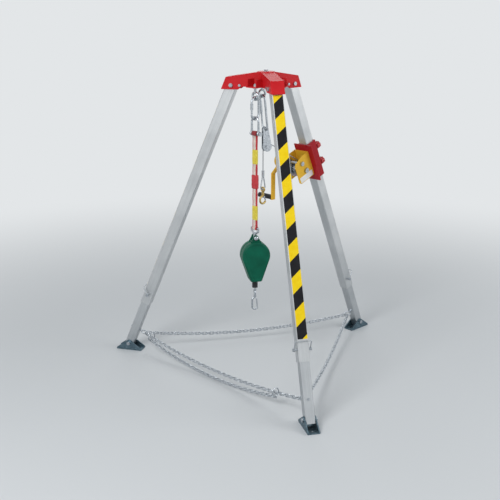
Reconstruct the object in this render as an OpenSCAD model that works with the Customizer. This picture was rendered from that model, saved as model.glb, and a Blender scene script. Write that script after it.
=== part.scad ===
// Rescue tripod with telescopic legs, leg winch, pulley and fall arrester.
// Millimetres. +Z up, origin on the floor under the middle of the head.

/* [Stance] */
// Height of the leg hinges above the floor
hinge_z = 1425; // [1300:5:1550]
// Radius of the leg hinges from the middle of the head
hinge_r = 165; // [155:1:185]
// Lean of an open leg from plumb, in degrees
lean = 22.8; // [20:0.2:26]

/* [Head] */
// Plate thickness of the head
head_t = 5; // [4:0.5:7]
// Side clearance of a leg in its arm
arm_gap = 1; // [0.5:0.1:2]
// Depth of an arm's side plates under the hinge
arm_low = 20; // [16:1:28]
// Height of an arm's outer end over the hinge
arm_high = 38; // [37:1:46]
// Height of the head's middle over the hinge
crown_h = 66; // [60:1:80]
// Radius of the hub in the middle
hub_r = 42; // [36:1:46]
// Radius of the anchor eyes from the middle
anchor_r = 72; // [66:1:80]
// Width of an anchor shelf
shelf_w = 64; // [50:1:72]
// Height of a shelf's side flanges
shelf_flange_h = 40; // [25:1:50]
// Radius of a leg pivot bolt
bolt_r = 6; // [5:0.5:7]
// Radius of a leg stop bolt
stop_r = 4; // [3:0.5:5]
// Distance from the pivot bolt in to the stop bolt
stop_in = 43; // [41:1:50]
// Clearance of an open leg to its stop pad
stop_gap = 0.4; // [0.3:0.1:1]
// Room for the top of a leg to swing out in its arm
arm_room = 8; // [7.5:0.5:12]
// Running clearance of a round fit, on the radius
fit = 0.05; // [0.02:0.01:0.1]

/* [Anchor eyes] */
// Middle of the anchor eyes above the floor
eye_z = 1380; // [1370:1:1384]
// Radius of the ring, to the middle of its bar
eye_r = 17; // [15:0.5:20]
// Radius of the ring's bar
eye_bar = 5.5; // [4:0.5:6]

/* [Legs] */
// Outside width of the upper tube
leg_w = 52; // [48:1:58]
// Wall of the upper tube
leg_wall = 3; // [2:0.5:4]
// Outside width of the lower tube
lower_w = 45; // [38:1:45]
// Wall of the lower tube
lower_wall = 3; // [2:0.5:4]
// Length of the upper tube above its pivot
tube_top = 22; // [16:1:24]
// Pivot to the end of the upper tube
upper_len = 1250; // [1150:5:1270]
// Pivot to the lock pin
pin_at = 1195; // [1080:5:1220]
// Travel of the lower tube
travel = 600; // [300:10:620]
// Length of lower tube that stays inside at full travel, above the pin
tube_hold = 60; // [40:5:100]
// Radius of a lock pin
pin_r = 5; // [4:0.5:6]
// How far a lock pin stands out of the tube on each side
pin_out = 15; // [13:1:20]
// Radius of the bail wire
bail_r = 2; // [1.5:0.5:2.5]
// Reach of the bail's front bar from the pin
bail_reach = 50; // [46:1:60]
// Lift of the bail at rest, in degrees
bail_lift = 44; // [30:1:48]
// Pivot to the chain eye
chain_at = 1415; // [1380:5:1430]

/* [Feet] */
// Height of the foot pivot above the floor
foot_pivot_h = 38; // [36:1:50]
// Length of a foot
foot_len = 140; // [110:1:170]
// Plate thickness of a foot
foot_t = 5; // [4:0.5:6]
// Radius of a foot's rounded ears
ear_r = 17; // [14:1:20]
// Side clearance of the tube in its foot
foot_gap = 1; // [0.5:0.1:2]
// Radius of the spike holes in a foot
spike_r = 7; // [5:0.5:8]
// Distance of the spike holes from the foot's middle
spike_at = 48; // [44:1:54]
// Height of the upright rim at the ends of a foot's ears
ear_rim = 9; // [6:1:12]

/* [Chain] */
// Wire diameter of the chain
link_d = 5; // [4:0.5:5]
// Inside length of a link
link_in = 25; // [24:0.5:28]
// Inside width of a link
link_gap = 9; // [8:0.5:10]
// Play between two links
link_play = 0.35; // [0.3:0.05:0.6]
// Radius of the ring of a chain eye
ring_r = 16; // [16:0.5:18]
// Radius of that ring's bar
ring_bar = 3.6; // [3:0.1:3.6]
// Sag of a chain between two legs
chain_sag = 42; // [20:1:60]
// Sag of the spare length of chain
spare_sag = 56; // [52:1:58]

/* [Winch] */
// Pivot to the middle of the winch
winch_at = 430; // [400:5:460]
// Plate thickness of the clamp
clamp_t = 6; // [5:0.5:8]
// Length of the clamp along the leg
clamp_len = 200; // [180:1:230]
// Width of the clamp's flanges
clamp_w = 116; // [108:1:130]
// Clearance between the clamp and the leg
clamp_gap = 0.5; // [0.3:0.1:1]
// Spacing of the two clamp knobs
knob_step = 92; // [80:1:120]
// Length of a clamp knob's neck
knob_stem = 22; // [16:1:26]
// Radius of a clamp knob
knob_r = 18; // [14:1:22]
// Plate thickness of the winch frame
frame_t = 4; // [3:0.5:5]
// Clear width between the frame's cheeks
cheek_gap = 84; // [82:1:90]
// Reach of the cheeks from the clamp
cheek_reach = 112; // [106:1:118]
// How far the winch sits to the crank's side of the leg
winch_side = 18; // [14:1:20]
// Height of the cheeks at the clamp
cheek_h = 132; // [126:1:150]
// Radius of the drum's core
core_r = 23; // [20:0.5:24]
// Radius of the drum's flanges
flange_r = 41; // [38:0.5:41]
// Radius of the drum shaft
drum_shaft_r = 8; // [7:0.5:9]
// Radius of the crank shaft
crank_shaft_r = 7; // [6:0.5:8]
// Teeth of the pinion
pinion_teeth = 10; // [10:1:10]
// Teeth of the drum gear
gear_teeth = 30; // [30:1:30]
// Gear module
gear_m = 2.5; // [2.5:0.1:2.5]
// Length of the crank from its shaft to its grip
crank_len = 205; // [180:1:230]
// Width of the crank's flat bar
crank_w = 24; // [22:1:28]
// Radius of the crank's grip
grip_r = 13; // [11:0.5:16]
// Length of the crank's grip
grip_len = 95; // [80:1:110]
// Length of the brake cover
cover_len = 66; // [56:1:70]
// Offset of the crank's lower part from its hub
arm_jog = 34; // [26:1:40]
// Radius of the brake cover
cover_r = 36; // [32:1:38]

/* [Rope and pulley] */
// Rope diameter
rope_d = 4.8; // [4:0.1:5]
// Turns of rope on the drum
rope_turns = 10; // [8:1:10]
// Step of those turns
rope_step = 5.4; // [5.3:0.1:5.6]
// Lean of the pulley towards the winch, in degrees
pulley_lean = 6; // [4:0.5:8]
// Radius of the sheave's groove
sheave_r = 18; // [16:0.5:19]
// Radius of the sheave's rim
sheave_rim = 23; // [22.5:0.5:24]
// Drop from the anchor eye to the sheave
sheave_drop = 264; // [255:1:275]
// Thickness of a pulley side plate
pulley_t = 3; // [2.5:0.5:4]
// Height of the rope's ferrule above the floor
ferrule_z = 985; // [960:1:1000]

/* [Carabiners] */
// Bar radius of a carabiner
bar_r = 5.5; // [5:0.5:6]
// Height of the upper carabiner of the arrester, to the middle of its bar
sling_biner_h = 104; // [100:1:112]
// Height of the pulley's carabiner, to the middle of its bar
pulley_biner_h = 172; // [166:1:178]
// Width of a carabiner, to the middle of its bar
biner_w = 46; // [42:1:52]

/* [Sling] */
// Width of the webbing
web_w = 32; // [26:1:36]
// Thickness of the webbing
web_t = 5; // [4:0.5:6]
// Lower end of the upper sleeve above the floor
sleeve_high = 1055; // [1040:1:1065]
// Lower end of the lower sleeve above the floor
sleeve_low = 778; // [765:1:790]
// Length of a sleeve
sleeve_len = 70; // [60:1:76]
// Lower end of the sewn pack above the floor
pack_low = 935; // [920:1:950]
// Length of the sewn pack
pack_len = 66; // [56:1:74]
// Top of the sling above the floor
sling_top = 1214; // [1210:1:1216]
// Bottom of the sling above the floor
sling_low = 726; // [722:1:730]

/* [Fall arrester] */
// Middle of the case's round body above the floor
case_z = 600; // [596:1:604]
// Radius of the case's round body
case_r = 71; // [70:1:76]
// Drop from the middle of the round body to the outlet
case_drop = 134; // [128:1:140]
// Thickness of the case
case_w = 74; // [66:1:84]
// Wall of the case
case_wall = 3; // [2.5:0.5:4]
// Width of the case at its outlet
outlet_w = 56; // [54:1:64]
// Rise of the two hanger plates over the case's top
hanger_rise = 28; // [20:1:30]
// Length of the nozzle under the case
nozzle_len = 36; // [30:1:40]
// Length of lifeline that pulls out
line_pull = 100; // [60:5:100]
// Diameter of the lifeline
line_d = 5; // [4:0.5:6]

/* [Hidden] */
$fn = 48;
eps = 0.01;
leg_az = [-90, 30, 150];
winch_leg = 1;
sling_az = 210;
pulley_az = 90;
anchor_az = [sling_az, pulley_az, -30];

arm_w = leg_w + 2*arm_gap;
stop_out = leg_w/2 + stop_gap;
end_in = leg_w/2 + arm_room;
end_out = end_in + head_t;
low_z = hinge_z - arm_low;
high_z = hinge_z + arm_high;
crown_z = hinge_z + crown_h;
hub_low = hinge_z - 6;
arm_start = 20;
arm_step = 112;
shelf_z = hinge_z - 5;
shelf_in = 36;
shelf_out = anchor_r + 30;

pivot_at = (hinge_z - foot_pivot_h)/cos(lean);
foot_r = hinge_r + (hinge_z - foot_pivot_h)*tan(lean);
foot_w = lower_w + 2*foot_gap + 2*foot_t;
lower_top = pin_at - travel - tube_hold;
lower_end = pivot_at + 18;

// A point of a leg's own frame, in the part's frame
function leg_point(k, p) = let (r = hinge_r + p.x*cos(lean) - p.z*sin(lean))
    [r*cos(leg_az[k]) - p.y*sin(leg_az[k]), r*sin(leg_az[k]) + p.y*cos(leg_az[k]),
     hinge_z + p.x*sin(lean) + p.z*cos(lean)];

// X of a line parallel to the open leg, at a distance outside its axis
function end_x(off, z) = hinge_r + off/cos(lean) + (hinge_z - z)*tan(lean);

ring_x = -lower_w/2 - ring_r - ring_bar - 8;
link_rc = (link_gap + link_d)/2;
link_half = (link_in - link_gap)/2;
link_first = link_in/2 - ring_bar - link_play;
// Where a chain towards leg j hangs on the ring of leg i
function hang_at(i, j) = let (side = (j - i + 3) % 3 == 1 ? 1 : -1)
    leg_point(i, [ring_x - ring_r*cos(30), side*ring_r*sin(30), -chain_at]);
run_span = norm(hang_at(1, 0) - hang_at(0, 1)) - 2*link_first;
run_count = 2*ceil(run_span/(link_in - link_d - link_play)/2);
spare_from = 2;
spare_to = run_count - 8;
spare_ring = link_rc + link_d/2 + 11;
spare_bar = 3;

clamp_x = -leg_w/2 - clamp_t;
base_x = clamp_x - frame_t;
cheek_end = clamp_x - cheek_reach;
drum_x = base_x - flange_r - 3;
drum_z = -winch_at - 16;
gear_gap = gear_m*(pinion_teeth + gear_teeth)/2;
crank_dx = -16;
crank_x = drum_x + crank_dx;
crank_z = drum_z + sqrt(gear_gap*gear_gap - crank_dx*crank_dx);
// Direction from the drum to the crank shaft, as the gears' outlines are drawn
line_turn = atan2(drum_z - crank_z, crank_dx);
cheek_in = cheek_gap/2;
cheek_out = cheek_in + frame_t;
gear_y = cheek_in - 15;
gear_t = 10;
wind_from = -cheek_in + 6;
wind_r = core_r + rope_d/2 + 0.2;
cover_out = cheek_out + cover_len;
arm_y = cover_out + 4;
arm_t = 8;
grip_y = arm_y + arm_jog + arm_t + 2;
knob_x = leg_w/2 + clamp_gap + clamp_t;
knob_thread = 5;
knob_h = 22;
grip_pin_r = 5;

rope_r = rope_d/2;
sheave_axle = 6;
pulley_eye = [anchor_r*cos(pulley_az), anchor_r*sin(pulley_az), eye_z];
lead_r = wind_r + rope_d + 0.4;
drum_mid = leg_point(winch_leg, [drum_x, 0, drum_z]);
pulley_turn = atan2(drum_mid.y - pulley_eye.y, drum_mid.x - pulley_eye.x);
sheave_mid = pulley_eye + sheave_drop*[sin(pulley_lean)*cos(pulley_turn),
    sin(pulley_lean)*sin(pulley_turn), -cos(pulley_lean)];
groove_r = sheave_r + rope_r + 0.1;
lead_dx = norm([drum_mid.x - sheave_mid.x, drum_mid.y - sheave_mid.y]);
lead_dz = sheave_mid.z - drum_mid.z;
lead_slope = atan2(lead_dz, lead_dx) - asin((groove_r - lead_r)/norm([lead_dx, lead_dz]));
lead_out = [cos(pulley_turn)*sin(lead_slope), sin(pulley_turn)*sin(lead_slope), cos(lead_slope)];
lead_top = sheave_mid + groove_r*lead_out;
lead_low = drum_mid + lead_r*lead_out;
drop_x = [sheave_mid.x - groove_r*cos(pulley_turn), sheave_mid.y - groove_r*sin(pulley_turn)];
ferrule_h = 30;
eye_drop = 76;
hook_top = ferrule_z - ferrule_h/2 - eye_drop;

biner_rc = biner_w/2;
sling_x = [anchor_r*cos(sling_az), anchor_r*sin(sling_az)];
// Middle of a carabiner's top bar under the middle of its eye
biner_top = eye_r - eye_bar - bar_r - 0.3;
sling_biner_low = eye_z - biner_top - sling_biner_h;
shackle_bar = 5;
shackle_top = sling_biner_low + bar_r + shackle_bar + 0.3;
loop_pin_z = sling_top - web_t - 6.3;
loop_pin_r = 6;
low_ring_z = sling_low + web_t + 5.3;
case_top = case_z + case_r + 5;
swivel_r = 9;
swivel_gap = 0.3;
case_low = case_z - case_drop;
neck_half = 22;
hanger_half = 30;
hanger_r = 13;
hanger_in = swivel_r + 7;
hanger_t = 6;
hanger_z = case_top + hanger_rise - hanger_r;
drum_axle_r = 8;
nozzle_r = 14;
arrester_turn = 150;
line_low = case_low - nozzle_len - 4;
line_top = case_low + line_pull + 16;
hook_ring = 10;
hook_bar = 4.5;
hook_shank = 22;
hook_bow = 20;
catch_ring = 10;
catch_bar = 4;
catch_shank = 16;
catch_bow = 14;
catch_tall = 34;

// Small shapes that repeat

module rod(p, q, r) {
    d = q - p;
    h = norm(d);
    translate(p) rotate([0, acos(d.z/h), atan2(d.y, d.x)]) cylinder(h = h, r = r);
}

module arc_bar(rc, r, from, to) {
    rotate([0, 0, from]) rotate_extrude(angle = to - from) translate([rc, 0]) circle(r);
}

module ring_bar_round(rc, r) rotate_extrude() translate([rc, 0]) circle(r);

module along_x() rotate([0, 90, 0]) children();

module along_y() rotate([-90, 0, 0]) children();

module hex(across, h) cylinder(h = h, r = across/2/cos(30), $fn = 6);

// A plate whose outline is drawn in X and Z, from y0 to y1
module upright(y0, y1) translate([0, y1, 0]) rotate([90, 0, 0]) linear_extrude(y1 - y0) children();

module at_leg(k) {
    rotate([0, 0, leg_az[k]]) translate([hinge_r, 0, hinge_z]) rotate([0, -lean, 0]) children();
}

module chamfered(w, c) {
    h = w/2;
    k = h - c;
    polygon([[k, -h], [h, -k], [h, k], [k, h], [-k, h], [-h, k], [-h, -k], [-k, -h]]);
}

// A bolt along Y with a hex head and a nut, clamping from -half to half
module cross_bolt(r, half) {
    translate([0, -half, 0]) along_y() cylinder(h = 2*half, r = r);
    translate([0, -half - 1.2*r, 0]) along_y() hex(3*r, 1.2*r);
    translate([0, half, 0]) along_y() hex(3*r, 1.4*r);
}

// Head

module arm_side() {
    polygon([[arm_start, hub_low], [arm_step, hub_low], [arm_step + 18, low_z],
        [end_x(end_out, low_z), low_z], [end_x(end_out, high_z), high_z], [arm_start, crown_z]]);
}

// An upright band that leans with the open leg, between two distances outside its axis
module leaning_band(off0, off1, z0, z1) {
    polygon([[end_x(off0, z0), z0], [end_x(off1, z0), z0], [end_x(off1, z1), z1], [end_x(off0, z1), z1]]);
}

module arm() {
    half = arm_w/2;
    upright(-half - head_t, -half) arm_side();
    upright(half, half + head_t) arm_side();
    upright(-half - head_t, half + head_t) leaning_band(end_in, end_out, low_z, high_z);
    upright(-half - 2, half + 2) leaning_band(stop_out, end_in + 2, low_z + 2, low_z + 12);
    upright(-half - head_t, half + head_t)
        polygon([[arm_start, crown_z - head_t], [end_x(end_in, high_z), high_z - head_t],
            [end_x(end_out, high_z), high_z], [arm_start, crown_z]]);
}

module shelf() {
    translate([shelf_in, -shelf_w/2, shelf_z]) cube([shelf_out - shelf_in, shelf_w, head_t]);
    for (s = [-1, 1])
        translate([shelf_in + 12, s*(shelf_w - head_t)/2 - head_t/2, shelf_z])
            cube([shelf_out - shelf_in - 18, head_t, shelf_flange_h]);
}

module head_frame() color("firebrick") difference() {
    union() {
        for (a = leg_az) rotate([0, 0, a]) arm();
        for (a = anchor_az) rotate([0, 0, a]) shelf();
        translate([0, 0, hub_low]) cylinder(h = crown_z - hub_low, r = hub_r);
    }
    translate([0, 0, hub_low - 1]) cylinder(h = crown_z - hub_low + 2, r = bolt_r + fit);
    for (a = leg_az) rotate([0, 0, a]) {
        translate([hinge_r, -arm_w, hinge_z]) along_y() cylinder(h = 2*arm_w, r = bolt_r + fit);
        translate([hinge_r - stop_in, -arm_w, hinge_z]) along_y() cylinder(h = 2*arm_w, r = stop_r + fit);
    }
    for (a = anchor_az) rotate([0, 0, a])
        translate([anchor_r, 0, shelf_z - 1]) cylinder(h = head_t + 2, r = bolt_r + fit);
}

module head_bolts() color("silver") {
    half = arm_w/2 + head_t;
    for (a = leg_az) rotate([0, 0, a]) {
        translate([hinge_r, 0, hinge_z]) cross_bolt(bolt_r, half);
        translate([hinge_r - stop_in, 0, hinge_z]) cross_bolt(stop_r, half);
    }
    translate([0, 0, hub_low]) cylinder(h = crown_z - hub_low, r = bolt_r);
    translate([0, 0, crown_z]) cylinder(h = 2.5, r = 2.3*bolt_r);
    translate([0, 0, crown_z + 2.5]) hex(3*bolt_r, 1.2*bolt_r);
    translate([0, 0, hub_low - 1.6*bolt_r]) hex(3*bolt_r, 1.6*bolt_r);
}

module anchor_eyes() color("silver") for (a = anchor_az) {
    turn = a == pulley_az ? pulley_turn - 90 : a;
    translate([anchor_r*cos(a), anchor_r*sin(a), 0]) rotate([0, 0, turn]) {
        translate([0, 0, eye_z]) along_x() ring_bar_round(eye_r, eye_bar);
        translate([0, 0, eye_z + eye_r])
            cylinder(h = shelf_z + head_t + 1.6*bolt_r + 4 - eye_z - eye_r, r = bolt_r);
        translate([0, 0, shelf_z - 5]) cylinder(h = 5, r = 1.9*bolt_r);
        translate([0, 0, shelf_z + head_t]) hex(3*bolt_r, 1.6*bolt_r);
    }
}

// Legs

module upper_tube(k) color("gainsboro") at_leg(k) difference() {
    translate([0, 0, -upper_len]) linear_extrude(upper_len + tube_top) chamfered(leg_w, 3);
    translate([0, 0, -upper_len - 1])
        linear_extrude(upper_len + tube_top + 2) chamfered(leg_w - 2*leg_wall, 1);
    translate([0, -leg_w, 0]) along_y() cylinder(h = 2*leg_w, r = bolt_r + fit);
    translate([0, -leg_w, -pin_at]) along_y() cylinder(h = 2*leg_w, r = pin_r + fit);
}

// The slot stands for the row of pin holes
module lower_tube(k) color("lightgray") at_leg(k) difference() {
    slot_r = pin_r + 0.4;
    translate([0, 0, -lower_end]) linear_extrude(lower_end - lower_top) chamfered(lower_w, 3);
    translate([0, 0, -lower_end - 1])
        linear_extrude(lower_end - lower_top + 2) chamfered(lower_w - 2*lower_wall, 1);
    for (z = [-pin_at, -pin_at + travel])
        translate([0, -lower_w, z]) along_y() cylinder(h = 2*lower_w, r = slot_r);
    translate([-slot_r, -lower_w, -pin_at]) cube([2*slot_r, 2*lower_w, travel]);
    translate([0, -lower_w, -pivot_at]) along_y() cylinder(h = 2*lower_w, r = bolt_r + fit);
    translate([-lower_w, 0, -chain_at]) along_x() cylinder(h = 2*lower_w, r = ring_bar + fit);
}

module lower_bolts(k) color("silver") at_leg(k) {
    nut_h = 1.5*ring_bar;
    translate([0, 0, -pivot_at]) cross_bolt(bolt_r, foot_w/2 + 0.3);
    translate([0, 0, -chain_at]) {
        translate([ring_x, 0, 0]) ring_bar_round(ring_r, ring_bar);
        translate([ring_x + ring_r, 0, 0]) along_x()
            cylinder(h = lower_w/2 - ring_x - ring_r + nut_h + 3, r = ring_bar);
        translate([lower_w/2, 0, 0]) along_x() hex(3.2*ring_bar, nut_h);
        translate([-lower_w/2 - nut_h, 0, 0]) along_x() hex(3.2*ring_bar, nut_h);
    }
}

module at_foot(k) rotate([0, 0, leg_az[k]]) translate([foot_r, 0, foot_pivot_h]) children();

module foot(k) color("slategray") at_foot(k) difference() {
    half = foot_len/2;
    low = -foot_pivot_h;
    flat = ear_r*0.7;
    union() {
        for (y = [-foot_w/2, foot_w/2 - foot_t]) upright(y, y + foot_t) {
            polygon([[-half, low], [half, low], [half, low + ear_rim], [flat, flat], [-flat, flat],
                [-half, low + ear_rim]]);
            circle(ear_r);
        }
        translate([-half, -foot_w/2, low]) cube([foot_len, foot_w, foot_t]);
    }
    translate([0, -foot_w, 0]) along_y() cylinder(h = 2*foot_w, r = bolt_r + fit);
    for (x = [-spike_at, spike_at])
        translate([x, 0, low - 1]) cylinder(h = foot_t + 2, r = spike_r);
}

module lock_pin(k) color("silver") at_leg(k) translate([0, 0, -pin_at]) {
    half = leg_w/2 + pin_out;
    translate([0, -half, 0]) along_y() cylinder(h = 2*half, r = pin_r);
    for (y = [-half - 3, half]) translate([0, y, 0]) along_y() cylinder(h = 3, r = pin_r + 2.5);
}

module lock_bail(k) color("gray") at_leg(k) translate([0, 0, -pin_at]) rotate([0, -bail_lift, 0]) {
    eye_w = 5;
    y = leg_w/2 + pin_out - eye_w - 0.4;
    mid = y + eye_w/2;
    for (s = [-1, 1]) {
        difference() {
            union() {
                translate([0, s*mid - eye_w/2, 0]) along_y() cylinder(h = eye_w, r = pin_r + 3);
                rod([pin_r + 1, s*mid, 0], [bail_reach - 6, s*mid, 0], bail_r);
            }
            translate([0, s*mid - eye_w, 0]) along_y() cylinder(h = 2*eye_w, r = pin_r + fit);
        }
        translate([bail_reach - 6, s*(mid - 6), 0])
            arc_bar(6, bail_r, s > 0 ? 0 : -90, s > 0 ? 90 : 0);
    }
    rod([bail_reach, -mid + 6, 0], [bail_reach, mid - 6, 0], bail_r);
}

// Chain

module link() {
    for (s = [-1, 1]) {
        translate([-link_half, s*link_rc, 0]) along_x() cylinder(h = 2*link_half, r = link_d/2);
        translate([s*link_half, 0, 0]) arc_bar(link_rc, link_d/2, s > 0 ? -90 : 90, s > 0 ? 90 : 270);
    }
}

// Puts X along a direction, with Y level at a roll of 0
module pointing(d, roll) {
    rise = atan2(d.z, norm([d.x, d.y]));
    rotate([0, 0, atan2(d.y, d.x)]) rotate([0, -rise, 0]) rotate([roll, 0, 0]) children();
}

// Middle of a link along a sagging chain from a to b, and its direction
function sag_point(a, b, sag, t) = a + (b - a)*t - [0, 0, 4*sag*t*(1 - t)];
function sag_way(a, b, sag, t) = b - a - [0, 0, 4*sag*(1 - 2*t)];
function run_from(i, j) = let (u = (hang_at(j, i) - hang_at(i, j))/norm(hang_at(j, i) - hang_at(i, j)))
    hang_at(i, j) + u*link_first - [0, 0, 4*chain_sag*link_first/run_span];

module chain_links(a, b, sag, count, from, to) {
    for (n = [from:to]) {
        t = n/count;
        translate(sag_point(a, b, sag, t)) pointing(sag_way(a, b, sag, t), n % 2 == 0 ? 90 : 0) link();
    }
}

module chain_run(i, j) color("lightsteelblue")
    chain_links(run_from(i, j), run_from(j, i), chain_sag, run_count, 0, run_count - 1);

// The link that closes a chain at its far eye, with its screw sleeve
module quick_link(i, j) color("silver") {
    a = run_from(i, j);
    b = run_from(j, i);
    translate(b) pointing(sag_way(a, b, chain_sag, 1), 90) {
        link();
        translate([-5, link_rc, 0]) along_x() difference() {
            hex(9, 10);
            translate([0, 0, -1]) cylinder(h = 12, r = link_d/2);
        }
    }
}

// Down, square to a direction
function ring_low(d) = let (u = d/norm(d), v = [u.x*u.z, u.y*u.z, u.z*u.z - 1]) v/norm(v);

// The spare length hangs in two rings round the chain in use
module chain_spare(i, j) color("lightsteelblue") {
    a = run_from(i, j);
    b = run_from(j, i);
    ta = spare_from/run_count;
    tb = spare_to/run_count;
    pa = sag_point(a, b, chain_sag, ta);
    pb = sag_point(a, b, chain_sag, tb);
    for (e = [[pa, ta], [pb, tb]])
        translate(e[0]) pointing(sag_way(a, b, chain_sag, e[1]), 0) along_x()
            ring_bar_round(spare_ring, spare_bar);
    qa = pa + spare_ring*ring_low(sag_way(a, b, chain_sag, ta));
    qb = pb + spare_ring*ring_low(sag_way(a, b, chain_sag, tb));
    u = (qb - qa)/norm(qb - qa);
    start = link_in/2 - spare_bar - link_play;
    deep = spare_sag - chain_sag + chain_sag*0.8;
    dip = [0, 0, 4*deep*start/norm(qb - qa)];
    sa = qa + u*start - dip;
    sb = qb - u*start - dip;
    count = 2*ceil(norm(sb - sa)/(link_in - link_d - 2*link_play)/2);
    chain_links(sa, sb, deep, count, 0, count);
}

// Winch

// Half-angle of a tooth at radius r: an involute flank with some backlash
function flank(r, z) =
    let (rp = gear_m*z/2, rb = rp*cos(20), a = acos(min(1, rb/r)), p = acos(rb/rp))
    90/z*0.86 + (tan(p)*180/PI - p) - (tan(a)*180/PI - a);

module gear_outline(z, tip, root) {
    rp = gear_m*z/2;
    rb = rp*cos(20);
    low = max(root, rb);
    rs = [for (n = [0:4]) low + (tip - low)*n/4];
    polygon([for (n = [0:z - 1]) let (c = 360*n/z) each concat(
        [root*[cos(c - 180/z), sin(c - 180/z)], root*[cos(c - flank(low, z)), sin(c - flank(low, z))]],
        [for (r = rs) r*[cos(c - flank(r, z)), sin(c - flank(r, z))]],
        [for (m = [4:-1:0]) rs[m]*[cos(c + flank(rs[m], z)), sin(c + flank(rs[m], z))]],
        [root*[cos(c + flank(low, z)), sin(c + flank(low, z))]])]);
}

module on_leg() at_leg(winch_leg) children();

module on_winch() on_leg() translate([0, winch_side, 0]) children();

module winch_clamp() color("firebrick") on_leg() translate([0, 0, -winch_at]) difference() {
    half = leg_w/2 + clamp_gap;
    z0 = -clamp_len/2;
    union() {
        translate([clamp_x, -clamp_w/2, z0]) cube([clamp_t, clamp_w, clamp_len]);
        for (y = [-half - clamp_t, half])
            translate([-leg_w/2 - eps, y, z0]) cube([leg_w/2 + knob_x + eps, clamp_t, clamp_len]);
        translate([half, -half - clamp_t, z0]) cube([clamp_t, 2*(half + clamp_t), clamp_len]);
    }
    for (s = [-1, 1]) translate([0, 0, s*knob_step/2]) along_x()
        cylinder(h = knob_x + 1, r = knob_thread + fit);
}

module clamp_knob(side) color("crimson") on_leg() translate([0, 0, -winch_at + side*knob_step/2]) along_x() {
    translate([0, 0, leg_w/2 + 0.3]) cylinder(h = knob_x - leg_w/2 + 6, r = knob_thread);
    translate([0, 0, knob_x + 1]) cylinder(h = knob_stem, r = 0.5*knob_r);
    translate([0, 0, knob_x + 1 + knob_stem]) difference() {
        cylinder(h = knob_h, r = knob_r);
        for (a = [0:45:315]) rotate([0, 0, a])
            translate([knob_r + 3, 0, -1]) cylinder(h = knob_h + 2, r = 5.5);
    }
    translate([0, 0, knob_x + 1 + knob_stem + knob_h]) cylinder(h = 2, r = 0.7*knob_r);
}

module cheek() {
    h = cheek_h/2;
    translate([0, -winch_at]) polygon([[clamp_x, -h], [clamp_x, h], [clamp_x - 46, h],
        [cheek_end + 10, h - 16], [cheek_end, h - 28], [cheek_end, -h + 10], [cheek_end + 10, -h]]);
}

module winch_frame() color("goldenrod") on_winch() difference() {
    union() {
        upright(-cheek_out, -cheek_in) cheek();
        upright(cheek_in, cheek_out) cheek();
        translate([base_x, -cheek_out, -winch_at - cheek_h/2]) cube([frame_t, 2*cheek_out, cheek_h]);
    }
    translate([drum_x, -cheek_gap, drum_z]) along_y() cylinder(h = 2*cheek_gap, r = drum_shaft_r + fit);
    translate([crank_x, -cheek_gap, crank_z]) along_y() cylinder(h = 2*cheek_gap, r = crank_shaft_r + fit);
}

module drum_shaft() color("silver") on_winch()
    translate([drum_x, 0, drum_z]) cross_bolt(drum_shaft_r, cheek_out);

module winch_drum() color("darkgray") on_winch() translate([drum_x, 0, drum_z]) difference() {
    union() {
        translate([0, -cheek_in + 1, 0]) along_y() cylinder(h = 3, r = flange_r);
        translate([0, -cheek_in + 1, 0]) along_y() cylinder(h = gear_y + cheek_in - 1, r = core_r);
        translate([0, gear_y - 3, 0]) along_y() cylinder(h = 3, r = flange_r);
        translate([0, gear_y, 0]) along_y() linear_extrude(gear_t) rotate([0, 0, line_turn])
            gear_outline(gear_teeth, gear_m*(gear_teeth/2 + 0.8), gear_m*(gear_teeth/2 - 1.25));
        translate([0, gear_y + gear_t - eps, 0]) along_y()
            cylinder(h = cheek_in - 1 - gear_y - gear_t, r = 14);
    }
    translate([0, -cheek_gap, 0]) along_y() cylinder(h = 2*cheek_gap, r = drum_shaft_r + fit);
}

// The outer layer of rope, one unbroken tube
sides = 6;
per_turn = 24;
rings = rope_turns*per_turn;
function wind_point(n, s) = let (a = 360*n/per_turn, b = 360*s/sides, r = wind_r + rope_r*cos(b))
    [r*cos(a), wind_from + rope_r + rope_step*n/per_turn + rope_r*sin(b), r*sin(a)];
function ring_point(n, s) = n*sides + s % sides;
echo(gap_between_rope_turns = rope_step - rope_d);

module drum_rope() color("dimgray") on_winch() translate([drum_x, 0, drum_z])
    polyhedron(
        [for (n = [0:rings], s = [0:sides - 1]) wind_point(n, s)],
        concat(
            [for (n = [0:rings - 1], s = [0:sides - 1])
                [ring_point(n, s), ring_point(n + 1, s), ring_point(n + 1, s + 1)]],
            [for (n = [0:rings - 1], s = [0:sides - 1])
                [ring_point(n, s), ring_point(n + 1, s + 1), ring_point(n, s + 1)]],
            [for (s = [1:sides - 2]) [0, s, s + 1]],
            [for (s = [1:sides - 2]) [rings*sides, rings*sides + s + 1, rings*sides + s]]));

module crank_shaft() color("silver") on_winch() translate([crank_x, 0, crank_z]) {
    translate([0, -cheek_out - 3, 0]) along_y()
        cylinder(h = cheek_out + 3 + arm_y + arm_t + 8, r = crank_shaft_r);
    translate([0, -cheek_out - 8, 0]) along_y() hex(3*crank_shaft_r, 7.5);
    translate([0, gear_y + 0.5, 0]) along_y() linear_extrude(gear_t - 1)
        rotate([0, 0, line_turn + 180 - 180/pinion_teeth])
            gear_outline(pinion_teeth, gear_m*(pinion_teeth/2 + 0.8), gear_m*(pinion_teeth/2 - 1.25));
    translate([0, cheek_out + 8, 0]) along_y() cylinder(h = 8, r = cover_r - 8);
    translate([0, arm_y + arm_t, 0]) along_y() hex(3*crank_shaft_r, 7);
}

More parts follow.
